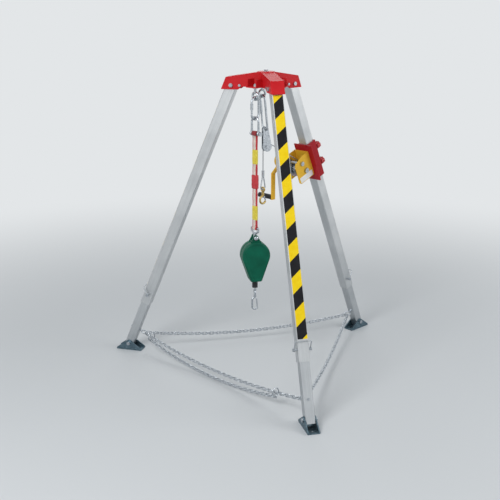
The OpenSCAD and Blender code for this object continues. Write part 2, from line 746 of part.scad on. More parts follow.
module brake_cover() color("goldenrod") on_winch() translate([crank_x, 0, crank_z]) difference() {
    translate([0, cheek_out, 0]) along_y() cylinder(h = cover_out - cheek_out, r = cover_r);
    translate([0, cheek_out + 3, 0]) along_y() cylinder(h = cover_out - cheek_out - 6, r = cover_r - 3);
    translate([0, cheek_out - 1, 0]) along_y()
        cylinder(h = cover_out - cheek_out + 2, r = crank_shaft_r + 0.3);
}

// The crank hangs plumb: its length is drawn along -Z
module crank_frame() on_winch() translate([crank_x, 0, crank_z]) rotate([0, lean, 0]) children();

module crank_arm() color("goldenrod") crank_frame() {
    w = crank_w/2;
    y1 = arm_y + arm_jog;
    difference() {
        union() {
            translate([-w, 0, 0]) rotate([90, 0, 90]) linear_extrude(crank_w)
                polygon([[arm_y, w], [arm_y, -40], [y1, -80], [y1, -crank_len - w],
                    [y1 + arm_t, -crank_len - w], [y1 + arm_t, -76], [arm_y + arm_t, -36], [arm_y + arm_t, w]]);
            translate([0, y1 + arm_t - 1, -crank_len]) along_y() cylinder(h = grip_len + 5, r = grip_pin_r);
            translate([0, grip_y + grip_len + 0.5, -crank_len]) along_y() cylinder(h = 3, r = 8);
        }
        translate([0, arm_y - 1, 0]) along_y() cylinder(h = arm_t + 2, r = crank_shaft_r + fit);
    }
}

module crank_grip() color("black") crank_frame() translate([0, grip_y, -crank_len]) along_y() difference() {
    union() {
        cylinder(h = grip_len, r = grip_r);
        cylinder(h = 6, r = grip_r + 2);
    }
    translate([0, 0, -1]) cylinder(h = grip_len + 2, r = grip_pin_r + fit);
}

// Carabiners: a rounded bar in the X-Z plane with its top bar's middle at the origin

module biner_body(h) {
    rotate([90, 0, 0]) {
        translate([0, -biner_rc]) arc_bar(biner_rc, bar_r, 0, 180);
        translate([0, -h + biner_rc]) arc_bar(biner_rc, bar_r, 180, 360);
    }
    rod([-biner_rc, 0, -biner_rc], [-biner_rc, 0, biner_rc - h], bar_r);
}

module biner_gate(h) {
    g0 = -biner_rc - 0.3;
    g1 = biner_rc - h + 2;
    rod([biner_rc, 0, g0], [biner_rc, 0, g1], bar_r - 1);
    rod([biner_rc, 0, g0 - 4], [biner_rc, 0, g0 - 4 + 0.55*(g1 - g0)], bar_r + 1.5);
}

module at_pulley() {
    translate(pulley_eye) rotate([0, 0, pulley_turn]) rotate([0, -pulley_lean, 0]) children();
}

module pulley_biner() at_pulley() rotate([0, 0, 90]) translate([0, 0, -biner_top]) children();

module pulley_carabiner() color("silver") pulley_biner() biner_body(pulley_biner_h);

module pulley_gate() color("lightgray") pulley_biner() biner_gate(pulley_biner_h);

pulley_hole = biner_top + pulley_biner_h + 12.1;

module pulley_outline() {
    polygon([[-14, -pulley_hole + 16], [14, -pulley_hole + 16], [24, -sheave_drop], [-24, -sheave_drop]]);
    translate([0, -sheave_drop]) circle(24);
    translate([0, -pulley_hole + 12]) circle(15);
}

module pulley_cheeks() color("silver") at_pulley() {
    gap = 12;
    difference() {
        for (y = [-gap/2 - pulley_t, gap/2]) upright(y, y + pulley_t) pulley_outline();
        translate([0, -gap, -pulley_hole + 12]) along_y() cylinder(h = 2*gap, r = bar_r + 3.2);
        translate([0, -gap, -sheave_drop]) along_y() cylinder(h = 2*gap, r = sheave_axle + fit);
    }
    translate([0, -gap/2 - pulley_t, -sheave_drop]) along_y()
        cylinder(h = gap + 2*pulley_t, r = sheave_axle);
    for (s = [-1, 1])
        translate([0, s*(gap/2 + pulley_t + 1.5) - 1.5, -sheave_drop]) along_y() cylinder(h = 3, r = 10);
}

module sheave_section() difference() {
    translate([sheave_axle + fit, -5.5]) square([sheave_rim - sheave_axle - fit, 11]);
    translate([groove_r, 0]) circle(rope_r + 0.15);
    translate([groove_r, -rope_r - 0.15]) square([10, 2*rope_r + 0.3]);
}

module pulley_sheave() color("dimgray") at_pulley()
    translate([0, 0, -sheave_drop]) along_y() rotate_extrude() sheave_section();

// Rope

module winch_rope_lead() color("gray") {
    rod(lead_low, lead_top + (lead_top - lead_low)/norm(lead_top - lead_low), rope_r - 0.08);
    translate(sheave_mid) rotate([0, 0, pulley_turn]) rotate([90, 0, 0])
        arc_bar(groove_r, rope_r, 90 - lead_slope, 180);
}

module winch_rope_drop() color("gray")
    rod([drop_x.x, drop_x.y, ferrule_z + ferrule_h/2], [drop_x.x, drop_x.y, sheave_mid.z], rope_r);

module at_drop(z) translate([drop_x.x, drop_x.y, z]) rotate([0, 0, leg_az[winch_leg]]) children();

module rope_eye() color("silver") at_drop(ferrule_z) {
    rc = 15;
    low = -ferrule_h/2 - eye_drop + rc + 8;
    translate([0, 0, -ferrule_h/2]) cylinder(h = ferrule_h, r = 7);
    for (s = [-1, 1]) rod([s*3, 0, -ferrule_h/2 + 2], [s*rc, 0, low], rope_r + 0.8);
    translate([0, 0, low]) rotate([90, 0, 0]) arc_bar(rc, rope_r + 0.8, 180, 360);
}

// A snap hook hanging from a ring at the origin: ring, shank and bow, without its gate.
// A tall bow has a straight back of that length.
module hook_body(ring_rc, bar, shank, bow, tall = 0) {
    bow_bar = bar + 0.5;
    translate([0, 0, -ring_rc]) along_x() ring_bar_round(ring_rc, bar);
    translate([0, 0, -2*ring_rc - shank]) cylinder(h = shank, r = bar + 2.5);
    translate([0, 0, -2*ring_rc - shank - bow]) {
        rotate([90, 0, 0]) arc_bar(bow, bow_bar, 90, tall > 0 ? 180 : 335);
        if (tall > 0) {
            rod([-bow, 0, -tall], [-bow, 0, 0], bow_bar);
            translate([0, 0, -tall]) rotate([90, 0, 0]) arc_bar(bow, bow_bar, 180, 335);
        }
    }
}

module hook_gate(ring_rc, bar, shank, bow, tall = 0) {
    translate([0, 0, -2*ring_rc - shank - bow])
        rod([bow*cos(25), 0, -0.22*bow - tall], [bar + 4.4, 0, bow - bar - 1.2], bar - 1);
}

module at_hook() at_drop(hook_top + 8 + rope_r + 0.8 + hook_bar + 0.6 + hook_ring - 7) children();

module rope_hook() color("goldenrod") at_hook() hook_body(hook_ring, hook_bar, hook_shank, hook_bow);

module rope_hook_latch() color("silver") at_hook() hook_gate(hook_ring, hook_bar, hook_shank, hook_bow);

// Sling and its carabiner

module at_sling(z) translate([sling_x.x, sling_x.y, z]) rotate([0, 0, sling_az]) children();

module sling_carabiner() color("silver") at_sling(eye_z - biner_top) biner_body(sling_biner_h);

module sling_gate() color("lightgray") at_sling(eye_z - biner_top) biner_gate(sling_biner_h);

module sling_shackle() color("silver") at_sling(shackle_top) rotate([0, 0, 90]) {
    low = loop_pin_z - shackle_top;
    rc = web_w/2 + shackle_bar + 1.5;
    rotate([90, 0, 0]) translate([0, -rc]) arc_bar(rc, shackle_bar, 0, 180);
    for (s = [-1, 1]) rod([s*rc, 0, -rc], [s*rc, 0, low], shackle_bar);
    translate([-rc - 10, 0, low]) along_x() cylinder(h = 2*rc + 20, r = loop_pin_r);
    translate([rc + 10, 0, low]) along_x() hex(18, 8);
}

module web_loop(hole) along_x() difference() {
    cylinder(h = web_w, r = hole + web_t, center = true);
    cylinder(h = web_w + 2, r = hole, center = true);
}

module sling_webbing() color("red") at_sling(0) rotate([0, 0, 90]) {
    hole = loop_pin_r + 0.3;
    low_hole = 5.3;
    top = loop_pin_z - hole - web_t + 1;
    low = low_ring_z + low_hole + web_t - 1;
    translate([0, 0, loop_pin_z]) web_loop(hole);
    translate([0, 0, low_ring_z]) web_loop(low_hole);
    translate([-web_w/2, -web_t, low]) cube([web_w, 2*web_t, top - low]);
    translate([-web_w/2 - 2, -web_t - 5, pack_low]) cube([web_w + 4, 2*web_t + 10, pack_len]);
}

module sling_sleeves() color("gold") at_sling(0) rotate([0, 0, 90]) for (z = [sleeve_high, sleeve_low])
    translate([-web_w/2 - 2.5, -web_t - 2.5, z]) difference() {
        cube([web_w + 5, 2*web_t + 5, sleeve_len]);
        translate([2.2, 2.2, -1]) cube([web_w + 0.6, 2*web_t + 0.6, sleeve_len + 2]);
    }

// Fall arrester

module arrester_swivel() color("silver") at_sling(0) rotate([0, 0, 90]) {
    half = web_w/2 + 7;
    low = low_ring_z - 22;
    rod([-half, 0, low_ring_z], [half, 0, low_ring_z], 5);
    for (s = [-1, 1]) {
        rod([s*half, 0, low_ring_z], [s*half, 0, low + 6], 5);
        rod([s*half, 0, low + 6], [s*6, 0, low - 4], 5);
        for (z = [low_ring_z, low + 6]) translate([s*half, 0, z]) sphere(5);
    }
    translate([0, 0, case_top - case_wall - 4]) cylinder(h = low - case_top + case_wall + 7, r = swivel_r);
    translate([0, 0, case_top + swivel_gap]) cylinder(h = 6, r = swivel_r + 5);
    translate([0, 0, case_top - case_wall - swivel_gap - 6]) cylinder(h = 6, r = swivel_r + 6);
}

// The flanks run from the round body to the outlet, just inside a tangent
flank_turn = 4 + atan2(-case_drop, outlet_w/2) + acos(case_r/norm([outlet_w/2, case_drop]));

module case_outline(inset) {
    r = case_r - inset;
    w = outlet_w/2 - inset;
    x = r*cos(flank_turn);
    z = case_z + r*sin(flank_turn);
    n = neck_half - inset;
    translate([0, case_z]) circle(r);
    polygon([[-x, z], [-w, case_low + inset], [w, case_low + inset], [x, z]]);
    polygon([[-n - 4, case_z], [n + 4, case_z], [n, case_top - inset], [-n, case_top - inset]]);
}

module hanger() {
    foot_z = case_top - 14;
    polygon([[-hanger_half, foot_z], [hanger_half, foot_z], [hanger_r, hanger_z], [-hanger_r, hanger_z]]);
    translate([0, hanger_z]) circle(hanger_r);
}

// One half of the case, with its wall towards +Y or -Y and its hanger plate beside the swivel
module case_shell(side) at_sling(0) rotate([0, 0, arrester_turn]) difference() {
    y0 = side > 0 ? 0.05 : -case_w/2;
    y1 = side > 0 ? case_w/2 : -0.05;
    hanger_y = side > 0 ? hanger_in : -hanger_in - hanger_t;
    union() {
        upright(y0, y1) case_outline(0);
        upright(hanger_y, hanger_y + hanger_t) hanger();
    }
    upright(y0 + (side < 0 ? case_wall : -1), y1 - (side > 0 ? case_wall : -1)) case_outline(case_wall);
    translate([0, 0, case_low - 1]) cylinder(h = 12, r = line_d/2 + 6.5);
    translate([0, 0, case_top - 10]) cylinder(h = 20, r = swivel_r + swivel_gap);
    translate([0, -case_w, case_z]) along_y() cylinder(h = 2*case_w, r = drum_axle_r + fit);
}

module arrester_case_front() color("darkgreen") case_shell(1);

module arrester_case_rear() color("darkgreen") case_shell(-1);

module arrester_drum() color("gray") at_sling(case_z) rotate([0, 0, arrester_turn]) {
    half = case_w/2 - case_wall - 1;
    translate([0, -case_w/2 + 1, 0]) along_y() cylinder(h = case_w - 2, r = drum_axle_r);
    translate([0, 6, 0]) along_y() cylinder(h = half - 6, r = 52);
    translate([0, -half, 0]) along_y() cylinder(h = half - 8, r = 44);
}

module arrester_nozzle() color("black") at_sling(case_low - nozzle_len) difference() {
    union() {
        cylinder(h = nozzle_len, r = nozzle_r);
        translate([0, 0, nozzle_len - 1]) cylinder(h = 11, r = line_d/2 + 6.3);
    }
    translate([0, 0, -1]) cylinder(h = nozzle_len + 20, r = line_d/2 + 0.4);
}

module lifeline() color("gray") at_sling(line_low - 4) cylinder(h = line_top - line_low + 4, r = line_d/2);

module at_arrester_hook() at_sling(line_low - 4) rotate([0, 0, arrester_turn]) children();

module arrester_hook() color("silver") at_arrester_hook() {
    translate([0, 0, -14]) cylinder(h = 14, r = 7);
    translate([0, 0, -10]) hook_body(catch_ring, catch_bar, catch_shank, catch_bow, catch_tall);
}

module arrester_hook_gate() color("lightgray") at_arrester_hook()
    translate([0, 0, -10]) hook_gate(catch_ring, catch_bar, catch_shank, catch_bow, catch_tall);

head_frame();
head_bolts();
anchor_eyes();
upper_tube(0);  // upper_tube_front
upper_tube(1);  // upper_tube_rear
upper_tube(2);  // upper_tube_left
lower_tube(0);  // lower_tube_front
lower_tube(1);  // lower_tube_rear
lower_tube(2);  // lower_tube_left
lower_bolts(0);  // lower_bolts_front
lower_bolts(1);  // lower_bolts_rear
lower_bolts(2);  // lower_bolts_left
foot(0);  // foot_front
foot(1);  // foot_rear
foot(2);  // foot_left
lock_pin(0);  // lock_pin_front
lock_pin(1);  // lock_pin_rear
lock_pin(2);  // lock_pin_left
lock_bail(0);  // lock_bail_front
lock_bail(1);  // lock_bail_rear
lock_bail(2);  // lock_bail_left
chain_run(2, 1);  // chain_left_rear
union() { chain_run(2, 0); chain_spare(2, 0); }  // chain_left_front
chain_run(0, 1);  // chain_front_rear
quick_link(2, 1);  // quick_link_left_rear
quick_link(2, 0);  // quick_link_left_front
quick_link(0, 1);  // quick_link_front_rear
winch_clamp();
clamp_knob(1);  // clamp_knob_upper
clamp_knob(-1);  // clamp_knob_lower
winch_frame();
winch_drum();
drum_shaft();
drum_rope();
crank_shaft();
crank_arm();
crank_grip();
brake_cover();
pulley_carabiner();
pulley_gate();
pulley_cheeks();
pulley_sheave();
winch_rope_lead();
winch_rope_drop();
rope_eye();
rope_hook();
rope_hook_latch();
sling_carabiner();
sling_gate();
sling_shackle();
sling_webbing();
sling_sleeves();
arrester_swivel();
arrester_case_front();
arrester_case_rear();
arrester_drum();
arrester_nozzle();
lifeline();
arrester_hook();
arrester_hook_gate();
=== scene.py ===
# %% [markdown]
# # A rescue tripod, dressed for a close look
# The tripod stands over a shaft on three telescopic legs. One line hangs from a sling and ends in a green
# fall arrester. A second line runs from a crank winch on the right-hand leg over a pulley. The hard
# pieces come from the engineering model and keep their shapes, so most of the work here is finishes, and
# the pieces that a solid model only stands in for: ropes, chains, webbing, tape and the moulded case.

import math

import bmesh
import bpy
import numpy as np
from mathutils import Matrix, Vector


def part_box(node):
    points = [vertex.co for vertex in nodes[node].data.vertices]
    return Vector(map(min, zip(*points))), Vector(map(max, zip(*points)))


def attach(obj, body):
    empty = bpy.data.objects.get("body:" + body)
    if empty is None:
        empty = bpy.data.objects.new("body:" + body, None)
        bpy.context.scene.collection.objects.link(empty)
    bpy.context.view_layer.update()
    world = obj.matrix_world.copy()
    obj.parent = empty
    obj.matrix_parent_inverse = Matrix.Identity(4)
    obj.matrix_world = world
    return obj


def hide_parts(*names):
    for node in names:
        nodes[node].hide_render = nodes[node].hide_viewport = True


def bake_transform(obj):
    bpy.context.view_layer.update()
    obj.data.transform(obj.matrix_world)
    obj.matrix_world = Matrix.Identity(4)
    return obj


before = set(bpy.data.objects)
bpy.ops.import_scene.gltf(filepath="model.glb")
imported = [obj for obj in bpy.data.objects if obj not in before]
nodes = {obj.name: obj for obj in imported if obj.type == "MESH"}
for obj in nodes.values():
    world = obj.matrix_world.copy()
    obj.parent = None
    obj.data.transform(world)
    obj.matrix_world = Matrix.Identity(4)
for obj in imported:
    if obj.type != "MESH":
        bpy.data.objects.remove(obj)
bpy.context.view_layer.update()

# %% [markdown]
# ## Camera
# The camera looks from the photo's own side: left of the front leg, a little above the head, looking down
# by 16 degrees. A lens of 65 mm on a square frame keeps the legs nearly straight, as a long lens does.

# %% Camera
CAMERA_AT, LENS_MM, SENSOR_MM = (-1.149, -4.184, 1.857), 64.8, 36
LOOK_DOWN, LOOK_RIGHT = math.radians(16.05), math.radians(14.35)
lens_data = bpy.data.cameras.new("camera")
lens_data.lens = LENS_MM
lens_data.sensor_width = SENSOR_MM
camera = bpy.data.objects.new("camera", lens_data)
camera.location = CAMERA_AT
camera.rotation_euler = (math.radians(90) - LOOK_DOWN, 0, -LOOK_RIGHT)
bpy.context.collection.objects.link(camera)
bpy.context.scene.camera = camera
bpy.context.scene.view_settings.view_transform = "Standard"
print("camera at", tuple(camera.location))

# %% [markdown]
# ## The leg's own directions
# Each leg has a frame of its own: X points away from the tripod, Y runs across the leg and Z up along it.
# A piece on a leg is easier to think about there, so one function carries points over to the tripod's
# frame.

# %% Leg frames
UP = Vector((0, 0, 1))
HINGE_Z, HINGE_R, LEAN = 1.425, 0.165, math.radians(22.8)
LEG_TURN = {"front": -90.0, "rear": 30.0, "left": 150.0}


def leg_matrix(leg):
    """The matrix from a leg's own frame to the tripod's frame."""
    turn = Matrix.Rotation(math.radians(LEG_TURN[leg]), 4, "Z")
    return turn @ Matrix.Translation((HINGE_R, 0, HINGE_Z)) @ Matrix.Rotation(-LEAN, 4, "Y")


print("1 m down the front leg:", leg_matrix("front") @ -UP)

# %% [markdown]
# ## Ropes first
# The winch rope and the lifeline are wire rope: strands laid in a helix round a core. A round tube would
# look like plastic hose, and a bump texture would vanish at the rope's edge. Here the tube's own section
# has six lobes that turn along the rope, so the strands are real and also show in the outline.

# %% Mesh helpers


def mesh_object(name, verts, faces, smooth=True):
    """A mesh piece with its faces turned outwards."""
    mesh = bpy.data.meshes.new(name)
    mesh.from_pydata([tuple(v) for v in verts], [], faces)
    mesh.validate()
    shape = bmesh.new()
    shape.from_mesh(mesh)
    bmesh.ops.recalc_face_normals(shape, faces=shape.faces)
    shape.to_mesh(mesh)
    shape.free()
    piece = bpy.data.objects.new(name, mesh)
    bpy.context.collection.objects.link(piece)
    mesh.polygons.foreach_set("use_smooth", [smooth] * len(mesh.polygons))
    return piece


def tube_faces(rows, around, closed=False):
    """Quads between rings of points; an open tube gets a cap at each end."""
    faces = []
    for i in range(rows if closed else rows - 1):
        j = (i + 1) % rows
        for s in range(around):
            n = (s + 1) % around
            faces.append((i * around + s, i * around + n, j * around + n, j * around + s))
    if not closed:
        faces.append(tuple(reversed(range(around))))
        faces.append(tuple(range((rows - 1) * around, rows * around)))
    return faces


def line_length(points):
    """The length of a line of points."""
    return sum((Vector(a) - Vector(b)).length for a, b in zip(points, points[1:]))


def even_points(points, step):
    """The same line, with points a step apart."""
    pts = np.array([tuple(p) for p in points], float)
    run = np.r_[0, np.cumsum(np.linalg.norm(np.diff(pts, axis=0), axis=1))]
    at = np.linspace(0, run[-1], max(2, int(run[-1] / step) + 1))
    return [Vector(p) for p in np.stack([np.interp(at, run, pts[:, k]) for k in range(3)], 1)]


print("mesh helpers ready")

# %% A wire rope along a line of points
LAY, STRANDS, LOBE = 0.026, 6, 0.16


def wire_rope(name, points, radius, around=24, step=0.0022):
    """A tube whose section is lobed like strands and turns once in each lay length."""
    line = even_points(points, step)
    side = (line[1] - line[0]).orthogonal().normalized()
    verts, run = [], 0.0
    for i, p in enumerate(line):
        run += (p - line[max(i - 1, 0)]).length
        way = (line[min(i + 1, len(line) - 1)] - line[max(i - 1, 0)]).normalized()
        side = (side - way * side.dot(way)).normalized()
        over = way.cross(side)
        for s in range(around):
            a = 2 * math.pi * s / around
            lobe = abs(math.cos((a - 2 * math.pi * run / LAY) * STRANDS / 2))
            verts.append(p + (side * math.cos(a) + over * math.sin(a)) * radius * (1 - LOBE + LOBE * lobe))
    rope = mesh_object(name, verts, tube_faces(len(line), around))
    return rope


print("wire rope: one turn of the strands in", LAY * 1000, "mm")

# %% [markdown]
# ## Where the winch rope runs
# The rope leaves the drum, goes up to the pulley, over its sheave, and drops to the hook's ferrule. The
# route is worked out again from the same few sizes as in the solid model. The lead changes its length
# when the leg with the winch folds in, and the drop when the hook goes down; here each is built once, as
# a fixed line.

# %% Route of the winch rope
ROPE_R = 0.0024
DRUM_X, DRUM_Z = -0.080, -0.446
PULLEY_DROP, PULLEY_LEAN = 0.264, math.radians(6)
GROOVE_FLOOR, DRUM_CORE = 0.018, 0.023
GROOVE_GAP, CORE_GAP, LAYER_GAP = 0.0001, 0.0002, 0.0004
FERRULE_TOP = 1.000
anchor = Vector((0, 0.072, 1.380))
drum_mid = leg_matrix("rear") @ Vector((DRUM_X, 0, DRUM_Z))
pulley_turn = math.atan2(drum_mid.y - anchor.y, drum_mid.x - anchor.x)
pulley_way = Vector((math.cos(pulley_turn), math.sin(pulley_turn), 0))
sheave_mid = anchor + PULLEY_DROP * (pulley_way * math.sin(PULLEY_LEAN) - UP * math.cos(PULLEY_LEAN))
groove_r = GROOVE_FLOOR + ROPE_R + GROOVE_GAP
wind_r = DRUM_CORE + ROPE_R + CORE_GAP
lead_r = wind_r + 2 * ROPE_R + LAYER_GAP
level = Vector((drum_mid.x - sheave_mid.x, drum_mid.y - sheave_mid.y)).length
climb = sheave_mid.z - drum_mid.z
slope = math.atan2(climb, level) - math.asin((groove_r - lead_r) / math.hypot(level, climb))
lead_out = pulley_way * math.sin(slope) + UP * math.cos(slope)
lead_top = sheave_mid + lead_out * groove_r
lead_low = drum_mid + lead_out * lead_r
print("sheave at", sheave_mid, "rope slope", round(math.degrees(slope), 1))

# %% Winch rope: lead, wrap and drop
WRAP_POINTS, LINE_POINTS, PATH_STEP = 18, 12, 0.004
over_sheave = []
for k in range(WRAP_POINTS + 1):
    a = math.radians(90) - slope + (math.radians(90) + slope) * k / WRAP_POINTS
    over_sheave.append(sheave_mid + groove_r * (pulley_way * math.cos(a) + UP * math.sin(a)))
lead_line = [lead_low.lerp(lead_top, k / LINE_POINTS) for k in range(LINE_POINTS)] + over_sheave
drop_top = sheave_mid - pulley_way * groove_r
drop_low = Vector((drop_top.x, drop_top.y, FERRULE_TOP))
drop_line = [drop_top.lerp(drop_low, k / LINE_POINTS) for k in range(LINE_POINTS + 1)]

winch_rope = wire_rope("winch_rope_up_to_pulley", lead_line, ROPE_R)
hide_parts("winch_rope_lead")
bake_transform(winch_rope)
rope_fall = wire_rope("winch_rope_fall", drop_line, ROPE_R)
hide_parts("winch_rope_drop")
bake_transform(rope_fall)
print("rope lead", round(line_length(lead_line), 3), "m, drop", round(line_length(drop_line), 3), "m")

# %% [markdown]
# ## Rope on the drum
# Ten turns lie side by side on the core, as one unbroken length, and a last turn crosses back over them
# to the place where the rope leaves for the pulley. Both are points on a helix, computed in the drum's
# own frame.

# %% Drum winding
WINCH_SIDE = 0.018
WIND_FROM, WIND_STEP, TURNS, PER_TURN = -0.036, 0.0054, 10, 40
CROSS_FROM, CROSS_TURNS, CROSS_POINTS = 0.017, 1.1, 60
to_row = leg_matrix("rear") @ Matrix.Translation((DRUM_X, WINCH_SIDE, DRUM_Z))
winding = []
for k in range(TURNS * PER_TURN + 1):
    a = 2 * math.pi * k / PER_TURN
    along = WIND_FROM + ROPE_R + WIND_STEP * k / PER_TURN
    winding.append(to_row @ Vector((wind_r * math.cos(a), along, wind_r * math.sin(a))))
drum_turns = wire_rope("rope_turns_on_drum", winding, ROPE_R, around=12, step=0.004)
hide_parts("drum_rope")
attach(drum_turns, "winch_drum")

local_out = to_row.to_3x3().inverted() @ lead_out
leave = math.atan2(local_out.z, local_out.x)
crossing = []
for k in range(CROSS_POINTS + 1):
    left = 1 - k / CROSS_POINTS
    a = leave - 2 * math.pi * CROSS_TURNS * left
    along = CROSS_FROM * left - WINCH_SIDE * (1 - left)
    crossing.append(to_row @ Vector((lead_r * math.cos(a), along, lead_r * math.sin(a))))
last_turn = wire_rope("rope_last_turn", crossing, ROPE_R, around=12, step=0.003)
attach(last_turn, "winch_drum")
print("turns on the drum:", TURNS, "and a crossing turn")

# %% [markdown]
# ## Lifeline
# The arrester's own wire rope comes out of the nozzle and ends in a snap hook. Most of what the model
# holds of it stays inside the case, ready to be pulled out.

# %% Lifeline of the fall arrester
SLING_TURN, SLING_R = math.radians(210), 0.072
LINE_LOW, LINE_TOP, LINE_R, LIFE_POINTS = 0.422, 0.582, 0.0025, 16
sling_out = Vector((math.cos(SLING_TURN), math.sin(SLING_TURN), 0))
sling_side = Vector((-math.sin(SLING_TURN), math.cos(SLING_TURN), 0))
sling_xy = sling_out * SLING_R
life_line = [sling_xy + UP * (LINE_TOP + (LINE_LOW - LINE_TOP) * k / LIFE_POINTS)
             for k in range(LIFE_POINTS + 1)]
lifeline = wire_rope("lifeline_cable", life_line, LINE_R)
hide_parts("lifeline")
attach(lifeline, "lifeline")
print("lifeline", round(line_length(life_line), 3), "m")

# %% [markdown]
# ## Finishes
# Every finish starts from what the real piece is made of. One function turns a hex colour into linear
# light. Another adds a node with its settings and links and hands back an output, so that a finish reads
# as a short list of nodes.

# %% Finish helpers


def linear(code):
    """An sRGB hex colour as linear red, green, blue and alpha."""
    parts = [int(code[i:i + 2], 16) / 255 for i in (1, 3, 5)]
    return tuple(c / 12.92 if c <= 0.04045 else ((c + 0.055) / 1.055) ** 2.4 for c in parts) + (1.0,)


def feed(tree, node, **inputs):
    """Sets inputs by name, or by i and a number. A socket is linked, and any other value is set."""
    for key, value in inputs.items():
        numbered = key[0] == "i" and key[1:].isdigit()
        found = node.inputs[int(key[1:])] if numbered else node.inputs[key.replace("_", " ")]
        if isinstance(value, bpy.types.NodeSocket):
            tree.links.new(value, found)
        else:
            found.default_value = value


def add(tree, kind, settings=None, out=0, **inputs):
    """Adds a node and gives back one of its outputs. Stops are a ramp's colours, each with its place."""
    made = tree.nodes.new(kind)
    for key, value in (settings or {}).items():
        if key != "stops":
            setattr(made, key, value)
            continue
        for element, (where, code) in zip(made.color_ramp.elements, value):
            element.position = where
            element.color = linear(code)
    feed(tree, made, **inputs)
    return made.outputs[out]


def new_finish(name, **values):
    """A material whose even values are set on the shader's own sockets."""
    finish = bpy.data.materials.new(name)
    finish.use_nodes = True
    tree = finish.node_tree
    shader = tree.nodes["Principled BSDF"]
    feed(tree, shader, **values)
    return finish, tree, shader


def per_metre(size_mm):
    """How often a pattern of this size comes in a metre, which is what a texture's scale counts."""
    return 1000 / size_mm


def metres(size_mm):
    """A small size, such as the depth of a bump, in metres."""
    return size_mm / 1000


print("red, linear", [round(c, 3) for c in linear("#BE0D16")])

# %% [markdown]
# ### Powder coat and enamel
# The head is folded and welded sheet steel with a baked red powder coat, and the winch is enamelled.
# Polyester powder melts as it bakes, which leaves a soft gloss and a faint orange peel of about 2 mm. A
# large cloudy change of tone keeps wide plates from looking flat, and edges where hands and ropes rub are
# a little lighter.

# %% Painted steel


def baked_coat(name, code, worn, rough, peel_mm=2.2, cloud_mm=70):
    """Paint with a cloudy tone, paler edges where it is rubbed, and a fine orange peel."""
    finish, tree, shader = new_finish(name, IOR=1.5, Specular_IOR_Level=0.22)
    at = add(tree, "ShaderNodeTexCoord", out="Object")
    cloud = add(tree, "ShaderNodeTexNoise", Vector=at, Scale=per_metre(cloud_mm), Detail=4.0)
    base = add(tree, "ShaderNodeValToRGB", {"stops": [(0.3, code), (0.75, worn)]}, Fac=cloud)
    edge = add(tree, "ShaderNodeNewGeometry", out="Pointiness")
    rub = add(tree, "ShaderNodeMapRange", Value=edge, From_Min=0.53, From_Max=0.62)
    colour = add(tree, "ShaderNodeMix", {"data_type": "RGBA"}, 2, i0=rub, i6=base, i7=linear(worn))
    sheen = add(tree, "ShaderNodeMapRange", Value=cloud, To_Min=rough - 0.05, To_Max=rough + 0.1)
    peel = add(tree, "ShaderNodeTexNoise", Vector=at, Scale=per_metre(peel_mm), Detail=1.0)
    normal = add(tree, "ShaderNodeBump", Height=peel, Distance=metres(0.05), Strength=0.35)
    feed(tree, shader, Base_Color=colour, Roughness=sheen, Normal=normal)
    return finish


red_coat = baked_coat("red_powder_coat", "#BE0D16", "#CC2027", 0.42)
clamp_coat = baked_coat("dark_red_enamel", "#98091A", "#AA1522", 0.36)
yellow_coat = baked_coat("yellow_enamel", "#E0A414", "#EAB838", 0.42)
print("painted finishes", red_coat.name, clamp_coat.name, yellow_coat.name)

# %% [markdown]
# ### Drawn aluminium
# The legs are square tube, drawn through a die and left bare. That leaves fine lines along the tube, so
# the noise is squeezed across the leg and stretched along the leg's own Z. Real die lines are finer than
# a tenth of a millimetre; these are about 1 mm wide, because finer ones would not show.

# %% Legs
LINE_ACROSS_MM, LINE_ALONG_MM, PATCH_MM = 1.1, 170, 110


def in_leg(tree, leg):
    """Position in the leg's own frame, in metres."""
    m = leg_matrix(leg)
    at = add(tree, "ShaderNodeTexCoord", out="Object")
    return add(tree, "ShaderNodeMapping", {"vector_type": "TEXTURE"}, Vector=at,
               Location=m.to_translation(), Rotation=m.to_euler())


def drawn_aluminium(name, leg, dark, pale):
    """Bare metal with fine lines along the leg and broad patches of tone."""
    finish, tree, shader = new_finish(name, Metallic=1.0)
    at = in_leg(tree, leg)
    squeeze = (per_metre(LINE_ACROSS_MM), per_metre(LINE_ACROSS_MM), per_metre(LINE_ALONG_MM))
    drawn = add(tree, "ShaderNodeVectorMath", {"operation": "MULTIPLY"}, i0=at, i1=squeeze)
    lines = add(tree, "ShaderNodeTexNoise", Vector=drawn, Scale=1.0, Detail=3.0)
    patches = add(tree, "ShaderNodeTexNoise", Vector=at, Scale=per_metre(PATCH_MM), Detail=3.0)
    tone = add(tree, "ShaderNodeMix", i0=0.45, i2=lines, i3=patches)
    colour = add(tree, "ShaderNodeValToRGB", {"stops": [(0.3, dark), (0.7, pale)]}, Fac=tone)
    rough = add(tree, "ShaderNodeMapRange", Value=tone, To_Min=0.3, To_Max=0.48)
    normal = add(tree, "ShaderNodeBump", Height=lines, Distance=metres(0.02), Strength=0.25)
    feed(tree, shader, Base_Color=colour, Roughness=rough, Normal=normal)
    return finish


upper_finish, lower_finish = {}, {}
for leg in LEG_TURN:
    upper_finish[leg] = drawn_aluminium("drawn_aluminium_" + leg, leg, "#B9BCBE", "#D7D9DA")
    lower_finish[leg] = drawn_aluminium("drawn_aluminium_lower_" + leg, leg, "#AEB2B5", "#CDD0D2")
print("aluminium for", list(upper_finish))

# %% [markdown]
# ### Plated and galvanised steel
# Bolts, hooks, chains and carabiners are zinc plated in a bath: bright, slightly blue, with small cloudy
# patches. The winch's hook has yellow passivated zinc. The feet were dipped in molten zinc, which sets in
# flat crystals, so they show patches of grey about 6 mm wide.

# %% Zinc plate and galvanising
FINE_MM = 0.7


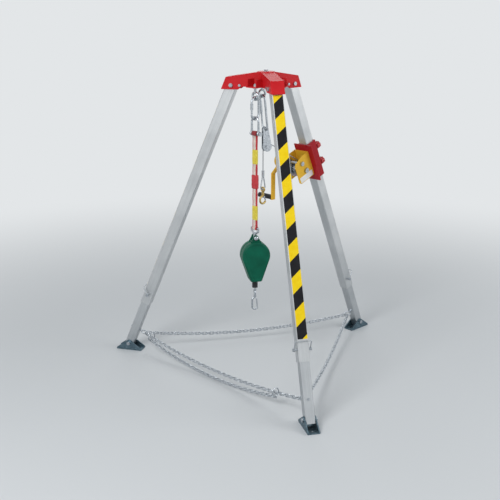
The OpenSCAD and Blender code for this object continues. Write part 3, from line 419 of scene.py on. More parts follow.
def plated(name, dark, pale, rough, patch_mm=7.0):
    """Bright zinc with cloudy patches and a fine grain."""
    finish, tree, shader = new_finish(name, Metallic=1.0)
    at = add(tree, "ShaderNodeTexCoord", out="Object")
    cloud = add(tree, "ShaderNodeTexNoise", Vector=at, Scale=per_metre(patch_mm), Detail=4.0)
    colour = add(tree, "ShaderNodeValToRGB", {"stops": [(0.32, dark), (0.7, pale)]}, Fac=cloud)
    worn = add(tree, "ShaderNodeMapRange", Value=cloud, To_Min=rough - 0.06, To_Max=rough + 0.1)
    grain = add(tree, "ShaderNodeTexNoise", Vector=at, Scale=per_metre(FINE_MM), Detail=1.0)
    normal = add(tree, "ShaderNodeBump", Height=grain, Distance=metres(0.02), Strength=0.2)
    feed(tree, shader, Base_Color=colour, Roughness=worn, Normal=normal)
    return finish


def hot_dipped(name, dark, pale, crystal_mm=6.0):
    """Zinc that set in flat crystals, each with a grey of its own."""
    finish, tree, shader = new_finish(name, Metallic=0.9)
    at = add(tree, "ShaderNodeTexCoord", out="Object")
    crystals = add(tree, "ShaderNodeTexVoronoi", out="Color", Vector=at, Scale=per_metre(crystal_mm))
    grey = add(tree, "ShaderNodeSeparateColor", Color=crystals)
    colour = add(tree, "ShaderNodeValToRGB", {"stops": [(0.0, dark), (1.0, pale)]}, Fac=grey)
    rough = add(tree, "ShaderNodeMapRange", Value=grey, To_Min=0.38, To_Max=0.55)
    normal = add(tree, "ShaderNodeBump", Height=grey, Distance=metres(0.03), Strength=0.2)
    feed(tree, shader, Base_Color=colour, Roughness=rough, Normal=normal)
    return finish


zinc = plated("zinc_plated_steel", "#A0A6AC", "#C6CBD0", 0.28)
# The chain's zinc is a paler copy of the other zinc: painted brightness that stands in for bright reflections
# on the links
chain_zinc_painted_bright = plated("zinc_plated_chain_painted_bright", "#A6ACB2", "#D0D4D8", 0.26)
cable_steel = plated("galvanised_wire", "#7F858A", "#A9AEB2", 0.36, patch_mm=3.0)
yellow_zinc = plated("yellow_zinc_steel", "#A8894A", "#C9B273", 0.3)
foot_zinc = hot_dipped("hot_dip_galvanised", "#4F646F", "#718691")
print("metals", zinc.name, chain_zinc_painted_bright.name, cable_steel.name, yellow_zinc.name, foot_zinc.name)

# %% [markdown]
# ### Moulded plastic
# The arrester's case, the knobs, the nozzle and the grip are moulded: one even colour, a fine sand
# texture from the tool's steel and a soft sheen. ABS bends light like most plastics, with an IOR of 1.54.
# The white enamel of the winch's plate is as even, so it has the same recipe with a shallower texture.

# %% Moulded plastic


def moulded(name, code, pale, rough, grit_mm=0.9, depth_mm=0.05, gloss=0.35, cloud_mm=45):
    """Plastic of nearly one tone, with the sand texture of its mould."""
    finish, tree, shader = new_finish(name, IOR=1.54, Specular_IOR_Level=gloss)
    at = add(tree, "ShaderNodeTexCoord", out="Object")
    cloud = add(tree, "ShaderNodeTexNoise", Vector=at, Scale=per_metre(cloud_mm), Detail=3.0)
    colour = add(tree, "ShaderNodeValToRGB", {"stops": [(0.3, code), (0.8, pale)]}, Fac=cloud)
    sheen = add(tree, "ShaderNodeMapRange", Value=cloud, To_Min=rough - 0.05, To_Max=rough + 0.08)
    grit = add(tree, "ShaderNodeTexNoise", Vector=at, Scale=per_metre(grit_mm), Detail=1.0)
    normal = add(tree, "ShaderNodeBump", Height=grit, Distance=metres(depth_mm), Strength=0.4)
    feed(tree, shader, Base_Color=colour, Roughness=sheen, Normal=normal)
    return finish


case_green = moulded("green_abs", "#02503C", "#06634B", 0.36, gloss=0.15)
knob_red = moulded("red_knob_plastic", "#B3141D", "#C22A30", 0.3)
black_abs = moulded("black_abs", "#151517", "#232326", 0.42)
grip_black = moulded("black_rubber_grip", "#121213", "#1E1E20", 0.6, grit_mm=1.6, depth_mm=0.12)
plate_white = moulded("white_plate_enamel", "#E4E5E3", "#F0F1EF", 0.4, grit_mm=1.2, depth_mm=0.02)
print("plastics", case_green.name, knob_red.name, black_abs.name, grip_black.name, plate_white.name)

# %% [markdown]
# ### Hand the finishes to the hard pieces
# The solid pieces keep their meshes. A small bevel on folded plates, covers, the grip and the feet
# catches a line of light along each edge. What isn't named here is zinc plated.

# %% Dress the solid pieces
finish_of = {
    "head_frame": red_coat, "winch_clamp": clamp_coat, "winch_frame": yellow_coat, "crank_arm": yellow_coat,
    "brake_cover": yellow_coat, "clamp_knob_upper": knob_red, "clamp_knob_lower": knob_red,
    "crank_grip": grip_black, "arrester_nozzle": black_abs, "rope_hook": yellow_zinc,
}
bevel_mm = {"head_frame": 2.2, "winch_clamp": 1.6, "winch_frame": 1.2, "crank_arm": 1.6, "brake_cover": 2.5,
            "crank_grip": 3.0, "arrester_nozzle": 2.0, "pulley_cheeks": 0.8}
for leg in LEG_TURN:
    finish_of["upper_tube_" + leg] = upper_finish[leg]
    finish_of["lower_tube_" + leg] = lower_finish[leg]
    finish_of["foot_" + leg] = foot_zinc
    bevel_mm["foot_" + leg] = 0.9
for name, piece in nodes.items():
    # Chains and quick links take the paler zinc, with its painted brightness
    metal = chain_zinc_painted_bright if "chain" in name or "quick" in name else zinc
    piece.data.materials.clear()
    piece.data.materials.append(finish_of.get(name, metal))
    if name in bevel_mm:
        soften = piece.modifiers.new("edge", "BEVEL")
        soften.width = metres(bevel_mm[name])
        soften.segments = 2
        soften.limit_method = "ANGLE"
        soften.angle_limit = math.radians(50)
for rope in (winch_rope, rope_fall, drum_turns, last_turn, lifeline):
    rope.data.materials.append(cable_steel)
print("dressed", len(nodes), "solid pieces,", len(bevel_mm), "with a bevel")

# %% [markdown]
# ## Chains
# The links are separate rings of zinc-plated wire. When the legs are drawn out, a chain has to reach
# further. Here each chain is a copy of the model's links, fixed in the tripod's frame, in place of the
# model's own chain.

# %% Copies of the chains
for run in ("left_rear", "left_front", "front_rear"):
    links = bpy.data.objects.new("chain_links_" + run, nodes["chain_" + run].data.copy())
    bpy.context.collection.objects.link(links)
    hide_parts("chain_" + run)
    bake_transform(links)
    print(links.name, len(links.data.vertices), "vertices")

# %% [markdown]
# ## Hazard tape
# The outward face of each upper tube carries a strip of printed vinyl, yellow with slanting black bars.
# The bars are worked out in the leg's own frame: a bar and a gap together take 146 mm of the leg, and the
# edges climb to the right at about 40 degrees. Vinyl is smooth, with a slight wave where it was pressed
# down by hand.

# %% Tape finish
BAR_AND_GAP, BAR_START, BAR_CLIMB = 0.1456, 0.394, 0.86
TAPE_CLOUD_MM, TAPE_WAVE_MM = 25, 6


def hazard_tape(name, leg):
    """Yellow vinyl with slanting black bars, laid out in the leg's own frame."""
    finish, tree, shader = new_finish(name, IOR=1.53, Specular_IOR_Level=0.2)
    at = in_leg(tree, leg)
    across = add(tree, "ShaderNodeSeparateXYZ", out="Y", Vector=at)
    along = add(tree, "ShaderNodeSeparateXYZ", out="Z", Vector=at)
    slant = add(tree, "ShaderNodeMath", {"operation": "MULTIPLY_ADD"}, i0=across, i1=-BAR_CLIMB, i2=along)
    count = add(tree, "ShaderNodeMath", {"operation": "MULTIPLY_ADD"}, i0=slant, i1=1 / BAR_AND_GAP,
                i2=BAR_START)
    part = add(tree, "ShaderNodeMath", {"operation": "FRACT"}, i0=count)
    bar = add(tree, "ShaderNodeMath", {"operation": "GREATER_THAN"}, i0=part, i1=0.5)
    cloud = add(tree, "ShaderNodeTexNoise", Vector=at, Scale=per_metre(TAPE_CLOUD_MM), Detail=3.0)
    yellow = add(tree, "ShaderNodeValToRGB", {"stops": [(0.3, "#F2CC08"), (0.75, "#F7D820")]}, Fac=cloud)
    black = add(tree, "ShaderNodeValToRGB", {"stops": [(0.3, "#0E0E12"), (0.75, "#19191E")]}, Fac=cloud)
    colour = add(tree, "ShaderNodeMix", {"data_type": "RGBA"}, 2, i0=bar, i6=yellow, i7=black)
    rough = add(tree, "ShaderNodeMapRange", Value=cloud, To_Min=0.28, To_Max=0.45)
    wave = add(tree, "ShaderNodeTexNoise", Vector=at, Scale=per_metre(TAPE_WAVE_MM), Detail=2.0)
    normal = add(tree, "ShaderNodeBump", Height=wave, Distance=metres(0.08), Strength=0.3)
    feed(tree, shader, Base_Color=colour, Roughness=rough, Normal=normal)
    return finish


print("tape: one bar and gap in", BAR_AND_GAP * 1000, "mm")

# %% Tape strips
TAPE_TOP, TAPE_END, TAPE_HALF = -0.038, -1.150, 0.0232
TUBE_FACE, TAPE_LIFT, TAPE_ROWS = 0.0259, 0.0003, 90


def tape_strip(leg):
    """A thin strip with its long edges pressed down, lying on the tube's outward face."""
    out = TUBE_FACE + TAPE_LIFT
    section = [(-TAPE_HALF, TUBE_FACE), (-TAPE_HALF + TAPE_LIFT, out), (0, out + TAPE_LIFT / 6),
               (TAPE_HALF - TAPE_LIFT, out), (TAPE_HALF, TUBE_FACE)]
    n = len(section)
    heights = np.linspace(TAPE_TOP, TAPE_END, TAPE_ROWS + 1)
    verts = [leg_matrix(leg) @ Vector((x, y, z)) for z in heights for y, x in section]
    faces = [(i * n + s, (i + 1) * n + s, (i + 1) * n + s + 1, i * n + s + 1)
             for i in range(TAPE_ROWS) for s in range(n - 1)]
    strip = mesh_object("hazard_tape_" + leg, verts, faces, smooth=False)
    strip.data.materials.append(hazard_tape("vinyl_hazard_tape_" + leg, leg))
    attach(strip, "upper_" + leg)
    return strip


print("tape strips", [tape_strip(leg).name for leg in LEG_TURN])

# %% [markdown]
# ## The sling
# The sling is a band of woven polyester sewn into a loop, with a dark cover where it bears on steel,
# yellow sleeves and a folded red pack. The weave is two crossing waves. A real yarn is under 1 mm wide;
# here a pair of yarns, one over and one under, takes 3.2 mm, because finer ones would blur away.
# Polyester is matt, and its loose fibres give a faint sheen at the edges.

# %% Woven webbing
PAIR_MM, WEB_CLOUD_MM, STRIPE_HALF = 3.2, 17, 0.0085
# A wave texture turns by 20 radians for each metre and unit of scale
WEAVE_SCALE = 2 * math.pi * per_metre(PAIR_MM) / 20


def webbing(name, code, pale, edge=None):
    """Woven cloth of two crossing waves, with a stripe along both edges where a colour for it is given."""
    finish, tree, shader = new_finish(name, IOR=1.57, Roughness=0.82, Sheen_Weight=0.25)
    at = add(tree, "ShaderNodeTexCoord", out="Object")
    at = add(tree, "ShaderNodeVectorMath", {"operation": "SUBTRACT"}, i0=at, i1=tuple(sling_xy))
    at = add(tree, "ShaderNodeVectorRotate", {"rotation_type": "Z_AXIS"}, Vector=at, Angle=-SLING_TURN)
    weft = add(tree, "ShaderNodeTexWave", {"bands_direction": "Y"}, "Fac", Vector=at, Scale=WEAVE_SCALE,
               Distortion=0.6)
    warp = add(tree, "ShaderNodeTexWave", {"bands_direction": "Z"}, "Fac", Vector=at, Scale=WEAVE_SCALE,
               Distortion=0.8)
    weave = add(tree, "ShaderNodeMath", {"operation": "MULTIPLY"}, i0=weft, i1=warp)
    cloud = add(tree, "ShaderNodeTexNoise", Vector=at, Scale=per_metre(WEB_CLOUD_MM), Detail=4.0)
    tone = add(tree, "ShaderNodeMath", {"operation": "MULTIPLY_ADD"}, i0=weave, i1=0.5, i2=cloud)
    colour = add(tree, "ShaderNodeValToRGB", {"stops": [(0.35, code), (0.95, pale)]}, Fac=tone)
    if edge:
        wide = add(tree, "ShaderNodeSeparateXYZ", out="Y", Vector=at)
        off = add(tree, "ShaderNodeMath", {"operation": "ABSOLUTE"}, i0=wide)
        outer = add(tree, "ShaderNodeMath", {"operation": "GREATER_THAN"}, i0=off, i1=STRIPE_HALF)
        colour = add(tree, "ShaderNodeMix", {"data_type": "RGBA"}, 2, i0=outer, i6=colour, i7=linear(edge))
    normal = add(tree, "ShaderNodeBump", Height=weave, Distance=metres(0.35), Strength=0.6)
    feed(tree, shader, Base_Color=colour, Normal=normal)
    return finish


web_band = webbing("woven_polyester_red_and_white", "#CFC0B4", "#E6DDD2", "#C23034")
web_dark = webbing("woven_polyester_dark_red", "#7E1A20", "#A02A30")
web_pack = webbing("woven_polyester_pack", "#B02028", "#CF3A40")
web_yellow = webbing("woven_sleeve_yellow", "#D3BB22", "#EBDC5A")
print("webbing", web_band.name, web_dark.name, web_pack.name, web_yellow.name)

# %% [markdown]
# A strap is a flat section with rounded edges, swept along a path in the sling's own plane. The loop goes
# round the shackle's pin at the top and round the swivel's bar at the bottom, and its two sides lie a
# little uneven.

# %% Straps along a path
PIN_Z, BAR_Z = 1.2027, 0.7363
WEB_W, WEB_T, WEB_ROUND = 0.028, 0.0046, 0.32
# The loop's inner radius round the pin and round the bar, and the radius of its middle
PIN_BEND, BAR_BEND = 0.0063, 0.0053
TOP_R, LOW_R = PIN_BEND + WEB_T / 2, BAR_BEND + WEB_T / 2
SIDE_GAP, RIPPLE, SIDE_POINTS = 0.0025, 0.0006, 40
BELOW_PIN, ABOVE_BAR = 0.017, 0.016
COVER_OUT, COVER_WIDER, COVER_THICKER = 1.12, 0.001, 0.0016


def in_sling(out, across, height):
    """A place in the sling's own directions, in the tripod's frame."""
    return sling_xy + sling_out * out + sling_side * across + UP * height


def strap(name, path, width, thick, closed, finish):
    """A flat band along a path of (out, height) points."""
    pts = [Vector(p) for p in path]
    n = len(pts)
    half, t, r = width / 2, thick / 2, thick * WEB_ROUND
    section = [(-half, -t + r), (-half + r, -t), (half - r, -t), (half, -t + r),
               (half, t - r), (half - r, t), (-half + r, t), (-half, t - r)]
    verts = []
    for i, p in enumerate(pts):
        a = pts[(i - 1) % n] if closed else pts[max(i - 1, 0)]
        b = pts[(i + 1) % n] if closed else pts[min(i + 1, n - 1)]
        way = (b - a).normalized()
        for s, d in section:
            verts.append(in_sling(p.x + way.y * d, s, p.y - way.x * d))
    made = mesh_object(name, verts, tube_faces(n, len(section), closed))
    made.data.materials.append(finish)
    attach(made, "sling_line")
    return made


def bend(radius, height, first, last, count):
    """Points round a bar, from one angle to another, in degrees."""
    turns = np.radians(np.linspace(first, last, count))
    return [(radius * math.cos(a), height + radius * math.sin(a)) for a in turns]


def sling_side_line(side, z0, z1, waves):
    """One side of the loop, from a height to another, with a ripple of so many radians."""
    shares = [k / SIDE_POINTS for k in range(1, SIDE_POINTS)]
    return [(side * (SIDE_GAP + RIPPLE * math.sin(f * waves)), z0 + (z1 - z0) * f) for f in shares]


high, low = PIN_Z - BELOW_PIN, BAR_Z + ABOVE_BAR
loop = bend(TOP_R, PIN_Z, first=-62, last=242, count=25) + sling_side_line(-1, high, low, waves=40)
loop += bend(LOW_R, BAR_Z, first=118, last=422, count=25) + sling_side_line(1, low, high, waves=43)
sling_band = strap("sling_band", loop, WEB_W, WEB_T, True, web_band)
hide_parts("sling_webbing")
cover_line = bend(COVER_OUT * TOP_R, PIN_Z, first=-50, last=230, count=29)
top_cover = strap("sling_top_cover", cover_line, WEB_W + COVER_WIDER, WEB_T + COVER_THICKER, False, web_dark)
print("sling band", len(sling_band.data.vertices), "vertices, cover", len(top_cover.data.vertices))

# %% [markdown]
# Sleeves and the folded pack are wrapped round the band. Cloth that is pulled tight in some places and
# slack in others is never a box, so their sections are rounded and swell and pinch a little along their
# length.

# %% Sleeves and pack
ROWS, AROUND, SQUARE = 36, 40, 0.42
PUFF, FOLD_DEPTH = 0.02, 0.05
PINCH_RATE, PINCH_OUT, PINCH_ACROSS = 18, 0.10, 0.04
UPPER_SLEEVE, LOWER_SLEEVE, PACK = (1.055, 1.125), (0.778, 0.848), (0.935, 1.001)


def wrap_sleeve(name, z_low, z_high, wide, thick, swell, folds, seed, finish, slot):
    """A rounded wrap round the band between two heights, full in the middle and pinched at its ends."""
    shift = np.random.default_rng(seed).normal(0, 1, 2)
    verts = []
    for f in np.linspace(0, 1, ROWS + 1):
        pinch = math.exp(-min(f, 1 - f) * PINCH_RATE)
        puff = 1 + swell * math.sin(math.pi * f) + PUFF * math.sin(folds * math.pi * f + shift[0])
        for s in range(AROUND):
            a = 2 * math.pi * s / AROUND
            c, d = math.cos(a), math.sin(a)
            fold = 1 + FOLD_DEPTH * math.sin(folds * 2 * math.pi * f + 3 * d + shift[1])
            out = thick / 2 * (1 - PINCH_OUT * pinch) * puff * fold * math.copysign(abs(c) ** SQUARE, c)
            across = wide / 2 * (1 - PINCH_ACROSS * pinch) * math.copysign(abs(d) ** SQUARE, d)
            verts.append(in_sling(out, across, z_low + (z_high - z_low) * f))
    made = mesh_object(name, verts, tube_faces(ROWS + 1, AROUND))
    made.data.materials.append(finish)
    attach(made, "sling_line")
    return made


sleeve = dict(wide=0.0310, thick=0.0130, swell=0.03, folds=5, finish=web_yellow, slot="sleeve_yellow")
folded = dict(wide=0.0355, thick=0.0195, swell=0.06, folds=3, finish=web_pack, slot="webbing")
upper_sleeve = wrap_sleeve("sling_sleeve_upper", *UPPER_SLEEVE, seed=3, **sleeve)
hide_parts("sling_sleeves")
lower_sleeve = wrap_sleeve("sling_sleeve_lower", *LOWER_SLEEVE, seed=4, **sleeve)
pack = wrap_sleeve("sling_pack", *PACK, seed=5, **folded)
print("wrapped", upper_sleeve.name, lower_sleeve.name, pack.name)

# %% [markdown]
# ## Forged legs of the shackle
# A drop-forged shackle isn't bent from even bar: its legs swell towards the ends and turn into round eyes
# for the pin. Each leg is lofted over the plain bar of the solid model, with oval sections that follow
# the swelling first and then the eye's circle.

# %% Shackle legs
LEG_OFF, BAR_R, LEG_LOW_R, EYE_R, EYE_THICK = 0.0225, 0.005, 0.0072, 0.0108, 0.0058
STEM_ROWS, EYE_ROWS, LEG_AROUND = 15, 20, 32
# The skin lies just outside the bar, and the eye stops short of its lowest point, where a small cap closes it
SKIN_R, EYE_SWEEP = 1.02 * BAR_R, math.pi * 0.96


def shackle_leg(name, side):
    """One leg as oval sections, from the bow down to the end of its eye."""
    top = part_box("sling_shackle")[1][2] - BAR_R - LEG_OFF
    heights = list(np.linspace(top, PIN_Z + EYE_R, STEM_ROWS + 1)[:-1])
    heights += [PIN_Z + EYE_R * math.cos(a) for a in np.linspace(0, EYE_SWEEP, EYE_ROWS)]
    turns = np.linspace(0, 2 * math.pi, LEG_AROUND + 1)[:-1]
    verts = []
    for z in heights:
        share = min((top - z) / (top - PIN_Z), 1.0)
        swell = SKIN_R + (LEG_LOW_R - BAR_R) * share ** 2
        eye = math.sqrt(max(EYE_R ** 2 - (z - PIN_Z) ** 2, 0.0))
        wide = max(swell, eye) if z > PIN_Z else eye
        thick = min(SKIN_R + (EYE_THICK - BAR_R) * share, 3 * wide)
        verts += [in_sling(wide * math.cos(a), side * LEG_OFF + thick * math.sin(a), z) for a in turns]
    made = mesh_object(name, verts, tube_faces(len(heights), len(turns)))
    made.data.materials.append(zinc)
    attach(made, "sling_line")
    return made


legs = [shackle_leg("shackle_leg_inner", -1), shackle_leg("shackle_leg_outer", 1)]
print("shackle legs", [len(made.data.vertices) for made in legs])

# %% [markdown]
# ## The fall arrester's case
# The real case is two moulded halves, round above and tapering to the outlet, with a rounded edge and a
# shallow panel in each face. Each half is lofted: the outline is repeated from the parting line outwards,
# and drawn in as the surface turns over to the face. An outline that is drawn in has a smaller circle,
# flanks that touch it and a higher foot, so it never crosses itself as points pushed inwards would.

# %% Outline of the case
CASE_Z, CASE_R, CASE_LOW, CASE_TOP, CASE_HALF, OUTLET = 0.600, 0.071, 0.466, 0.676, 0.037, 0.028
CASE_TURN = SLING_TURN + math.radians(150)
ARC_POINTS, FOOT_POINTS, FLANK_SHARES = 40, 8, np.linspace(0.06, 0.95, 16)
ARC_TRIM, SMOOTHINGS = math.radians(4), 2
case_wide = Vector((math.cos(CASE_TURN), math.sin(CASE_TURN), 0))
case_face = Vector((-math.sin(CASE_TURN), math.cos(CASE_TURN), 0))


def in_case(across, depth, height):
    """A place in the case's own directions, in the tripod's frame."""
    return sling_xy + case_wide * across + case_face * depth + UP * height


def case_outline(inset=0.0):
    """Points round the case, as (across, height), starting at the outlet and drawn in evenly."""
    far = math.hypot(OUTLET, CASE_LOW - CASE_Z)
    touch = math.atan2(CASE_LOW - CASE_Z, OUTLET) + math.acos(CASE_R / far)
    # The flank runs at right angles to the circle's radius at the point where it touches
    run_out, run_up = -math.sin(touch), math.cos(touch)
    radius, low = CASE_R - inset, CASE_LOW + inset
    foot = OUTLET - inset * (1 - run_out) / run_up
    turns = np.linspace(touch + ARC_TRIM, math.pi / 2, ARC_POINTS)
    arc = [(radius * math.cos(a), CASE_Z + radius * math.sin(a)) for a in turns]
    right = [(x, low) for x in np.linspace(0, foot, FOOT_POINTS)]
    right += [(foot + (arc[0][0] - foot) * f, low + (arc[0][1] - low) * f) for f in FLANK_SHARES]
    right += arc
    pts = np.array(right + [(-x, z) for x, z in reversed(right[1:-1])])
    for _ in range(SMOOTHINGS):
        pts = 0.5 * pts + 0.25 * np.roll(pts, 1, 0) + 0.25 * np.roll(pts, -1, 0)
    return pts


print("outline of", len(case_outline()), "points")

# %% Case halves
SEAM, SEAM_EDGE, SEAM_IN, WALL = 0.00005, 0.0007, 0.0008, 0.012
EDGE_R, EDGE_ROWS, DRAFT = 0.009, 8, 0.0004
PANEL_IN, PANEL_DEPTH, PANEL_STEP, PANEL_RIM, PANEL_DROP = 0.013, 0.0006, 0.0008, 0.004, 0.012
PANEL_SHARES = (0.75, 0.5, 0.25)


def case_half(name, side, node):
    """Rings of the outline, as (depth, inset) from the parting line to the middle of the face."""
    n = len(case_outline())
    rings = [(SEAM, SEAM_IN), (SEAM_EDGE, 0.0), (WALL, 0.0), (CASE_HALF - EDGE_R, DRAFT)]
    for a in np.linspace(0, math.pi / 2, EDGE_ROWS + 1)[1:]:
        rings.append((CASE_HALF - EDGE_R * (1 - math.sin(a)), DRAFT + EDGE_R * (1 - math.cos(a))))
    rings += [(CASE_HALF, PANEL_IN), (CASE_HALF - PANEL_DEPTH, PANEL_IN + PANEL_STEP)]
    rings += [(CASE_HALF - PANEL_DEPTH, PANEL_IN + PANEL_RIM)]
    verts = [in_case(x, side * d, z) for d, inset in rings for x, z in case_outline(inset)]
    middle = np.array([0.0, CASE_Z - PANEL_DROP])
    panel = case_outline(rings[-1][1])
    for share in PANEL_SHARES:
        verts += [in_case(x, side * rings[-1][0], z) for x, z in middle + (panel - middle) * share]
    rows = len(rings) + len(PANEL_SHARES)
    made = mesh_object(name, verts, tube_faces(rows, n)[:-2] + [tuple(range((rows - 1) * n, rows * n))])
    made.data.materials.append(case_green)
    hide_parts(node)
    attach(made, "arrester")
    return made


halves = [case_half("arrester_half_far", 1, "arrester_case_front"),
          case_half("arrester_half_near", -1, "arrester_case_rear")]
print("case halves", [len(c.data.vertices) for c in halves])

# %% [markdown]
# ## Hanger plates, bare plate and rivets
# Two moulded plates rise from the case beside the swivel, each with a domed rivet, and the swivel's
# collar sits on a low boss between them. The winch carries a bare white plate on the cheek that faces the
# camera. All of them are an outline with a thickness and softened edges, so one function makes them.
# Rivets and the case's screws are turned from a profile.

# %% Plates


def plate(name, matrix, outline, thick, edge, finish, body):
    """A flat piece in its own X-Y plane, with its edges drawn in at both faces."""
    mid = np.mean(outline, 0)
    shrink = 1 - edge / np.abs(np.array(outline) - mid).max()
    levels = [(0, shrink), (edge, 1.0), (thick - edge, 1.0), (thick, shrink)]
    verts = [matrix @ Vector((*(mid + (np.array(p) - mid) * k), z)) for z, k in levels for p in outline]
    made = mesh_object(name, verts, tube_faces(len(levels), len(outline)), smooth=False)
    made.data.materials.append(finish)
    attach(made, body)
    return made


def round_card(width, height, radius, count=7):
    """A rectangle with round corners, each of so many points."""
    points = []
    for sx, sy, start in ((1, 1, 0), (-1, 1, 90), (-1, -1, 180), (1, -1, 270)):
        cx, cy = sx * (width / 2 - radius), sy * (height / 2 - radius)
        points += [(cx + radius * math.cos(a), cy + radius * math.sin(a))
                   for a in np.radians(np.linspace(start, start + 90, count))]
    return points


BARE_W, BARE_H, BARE_CORNER, BARE_T, BARE_EDGE = 0.094, 0.030, 0.003, 0.0006, 0.0001
BARE_AT = (-0.088, WINCH_SIDE - 0.0461, -0.478)
across_cheek = Matrix.Rotation(math.radians(90), 4, "X")
facing = leg_matrix("rear") @ Matrix.Translation(BARE_AT) @ across_cheek
plate("winch_plate", facing, round_card(BARE_W, BARE_H, BARE_CORNER), BARE_T, BARE_EDGE,
      plate_white, "upper_rear")

HANGER_HALF, HANGER_R, HANGER_FOOT, HANGER_Z = 0.030, 0.013, 0.662, 0.691
HANGER_IN, HANGER_T, HANGER_EDGE = 0.016, 0.006, 0.0012
NECK_HALF, NECK_DEEP, NECK_CORNER, NECK_EDGE = 0.022, 0.060, 0.010, 0.0015
hanger = [(-HANGER_HALF, HANGER_FOOT), (HANGER_HALF, HANGER_FOOT)]
hanger += [(HANGER_R * math.cos(a), HANGER_Z + HANGER_R * math.sin(a)) for a in np.linspace(0, math.pi, 25)]
stand = Matrix.Translation(sling_xy) @ Matrix.Rotation(CASE_TURN, 4, "Z")
for side, where in ((1, "far"), (-1, "near")):
    start = HANGER_IN if side > 0 else -HANGER_IN - HANGER_T
    upright = stand @ Matrix.Translation((0, start + HANGER_T, 0)) @ across_cheek
    plate("arrester_hanger_" + where, upright, hanger, HANGER_T, HANGER_EDGE,
          case_green, "arrester")
boss = stand @ Matrix.Translation((0, 0, HANGER_FOOT))
plate("arrester_neck", boss, round_card(2 * NECK_HALF, NECK_DEEP, NECK_CORNER), CASE_TOP - HANGER_FOOT,
      NECK_EDGE, case_green, "arrester")
print("plates and hangers made")

# %% Rivets and screws
DOME = [(1.0, 0.0), (1.0, 0.14), (0.93, 0.3), (0.76, 0.44), (0.5, 0.54), (0.2, 0.58)]
SOCKET_HEAD = [(1.0, 0.0), (1.0, 0.3), (0.88, 0.45), (0.5, 0.5), (0.46, 0.15)]
HEAD_AROUND = 32


def turned_head(name, at, way, radius, profile):
    """A head turned from a profile of (radius, height), each as a share of its radius."""
    side = way.orthogonal().normalized()
    over = way.cross(side)
    turns = np.linspace(0, 2 * math.pi, HEAD_AROUND + 1)[:-1]
    ring = [side * math.cos(a) + over * math.sin(a) for a in turns]
    verts = [at + (spoke * r + way * h) * radius for r, h in profile for spoke in ring]
    made = mesh_object(name, verts, tube_faces(len(profile), HEAD_AROUND))
    made.data.materials.append(zinc)
    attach(made, "arrester")
    return made


RIVET_Z, RIVET_R, RIVET_SEAT = 0.688, 0.0115, 0.0002
SCREW_R, SCREW_SEAT = 0.0034, 0.0016
SCREW_CIRCLE, SCREW_TURNS, SCREW_FOOT = 0.0635, (30, 150, 200, 340), (0.0215, 0.4735)
for side, where in ((1, "far"), (-1, "near")):
    at = in_case(0, side * (HANGER_IN + HANGER_T - RIVET_SEAT), RIVET_Z)
    turned_head("hanger_rivet_" + where, at, case_face * side, RIVET_R, DOME)
spots = [(SCREW_CIRCLE * math.cos(a), CASE_Z + SCREW_CIRCLE * math.sin(a)) for a in np.radians(SCREW_TURNS)]
spots += [SCREW_FOOT, (-SCREW_FOOT[0], SCREW_FOOT[1])]
for k, (x, z) in enumerate(spots):
    turned_head(f"case_screw_{k}", in_case(x, CASE_HALF - SCREW_SEAT, z), case_face, SCREW_R, SOCKET_HEAD)
print("rivets 2, screws", len(spots))

# %% [markdown]
# ## Floor and light
# The tripod stands on a plain pale floor. Far from it the floor turns into the backdrop's own pale tone,
# so no horizon cuts through the picture, while close to the feet it stays a real surface and keeps the
# shadows.

# %% Floor
BACKDROP = "#E3E6E8"
FADE_FROM, FADE_TO = 1.0, 4.2
FLOOR_R, FLOOR_SIDES, FLOOR_DROP = 24, 96, 0.0005


def seen_ray(tree):
    """1 for rays from the camera, in a mirror or through glass, and 0 for light that falls on a surface."""
    straight = add(tree, "ShaderNodeLightPath", out="Is Camera Ray")
    mirrored = add(tree, "ShaderNodeLightPath", out="Is Glossy Ray")
    through = add(tree, "ShaderNodeLightPath", out="Is Transmission Ray")
    either = add(tree, "ShaderNodeMath", {"operation": "MAXIMUM"}, i0=straight, i1=mirrored)
    return add(tree, "ShaderNodeMath", {"operation": "MAXIMUM"}, i0=either, i1=through)


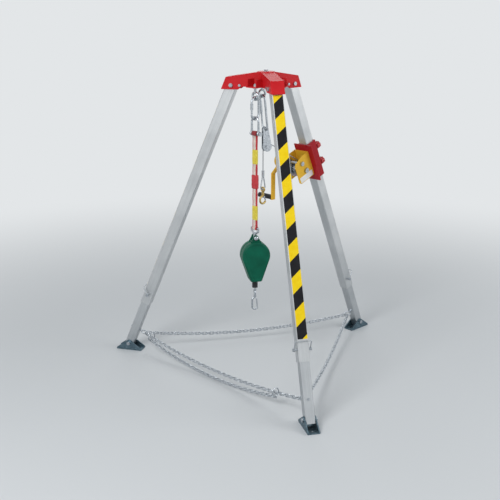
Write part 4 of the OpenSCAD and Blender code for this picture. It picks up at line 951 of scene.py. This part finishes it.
floor_finish, tree, shader = new_finish("pale_matt_floor", Base_Color=linear("#D3D6D8"), Roughness=0.7,
                                        Specular_IOR_Level=0.2)
at = add(tree, "ShaderNodeTexCoord", out="Object")
away = add(tree, "ShaderNodeVectorMath", {"operation": "LENGTH"}, "Value", i0=at)
fade = add(tree, "ShaderNodeMapRange", {"interpolation_type": "SMOOTHSTEP"}, Value=away,
           From_Min=FADE_FROM, From_Max=FADE_TO)
share = add(tree, "ShaderNodeMath", {"operation": "MULTIPLY"}, i0=fade, i1=seen_ray(tree))
glow = add(tree, "ShaderNodeEmission", Color=linear(BACKDROP), Strength=1.0)
both = add(tree, "ShaderNodeMixShader", Fac=share, i1=shader.outputs[0], i2=glow)
feed(tree, tree.nodes["Material Output"], Surface=both)
turns = np.linspace(0, 2 * math.pi, FLOOR_SIDES + 1)[:-1]
rim = [(FLOOR_R * math.cos(a), FLOOR_R * math.sin(a), -FLOOR_DROP) for a in turns]
floor = mesh_object("floor", rim, [tuple(range(FLOOR_SIDES))], smooth=False)
floor.data.materials.append(floor_finish)
print("floor", floor.dimensions[:])

# %% [markdown]
# One large lamp from the upper left models the tubes, a weaker one from the right opens the shadows and a
# third from behind draws the edges. The sky gives the rest. What the camera sees of the sky is the
# backdrop's tone.

# %% Lamps and sky


def lamp(name, at, aim, size, watts):
    """A round lamp at a place, turned to what it lights."""
    light = bpy.data.lights.new(name, "AREA")
    light.shape = "DISK"
    light.size = size
    light.energy = watts
    made = bpy.data.objects.new(name, light)
    made.location = at
    made.rotation_euler = (Vector(aim) - Vector(at)).to_track_quat("-Z", "Y").to_euler()
    bpy.context.collection.objects.link(made)
    return made


lamps = [lamp("key_lamp", at=(-2.6, -2.6, 3.4), aim=(0, 0, 0.8), size=2.0, watts=95),
         lamp("fill_lamp", at=(3.2, -2.0, 2.2), aim=(0, 0, 0.8), size=2.6, watts=46),
         lamp("back_lamp", at=(0.8, 3.4, 3.0), aim=(0, 0, 0.9), size=2.4, watts=18)]
sky = bpy.data.worlds.new("studio")
bpy.context.scene.world = sky
sky.use_nodes = True
tree = sky.node_tree
daylight = tree.nodes["Background"]
feed(tree, daylight, Color=linear("#DDE2E6"), Strength=0.55)
backdrop = add(tree, "ShaderNodeBackground", Color=linear(BACKDROP), Strength=1.0)
both = add(tree, "ShaderNodeMixShader", Fac=seen_ray(tree), i1=daylight.outputs[0], i2=backdrop)
feed(tree, tree.nodes["World Output"], Surface=both)
print("lamps", [made.name for made in lamps])
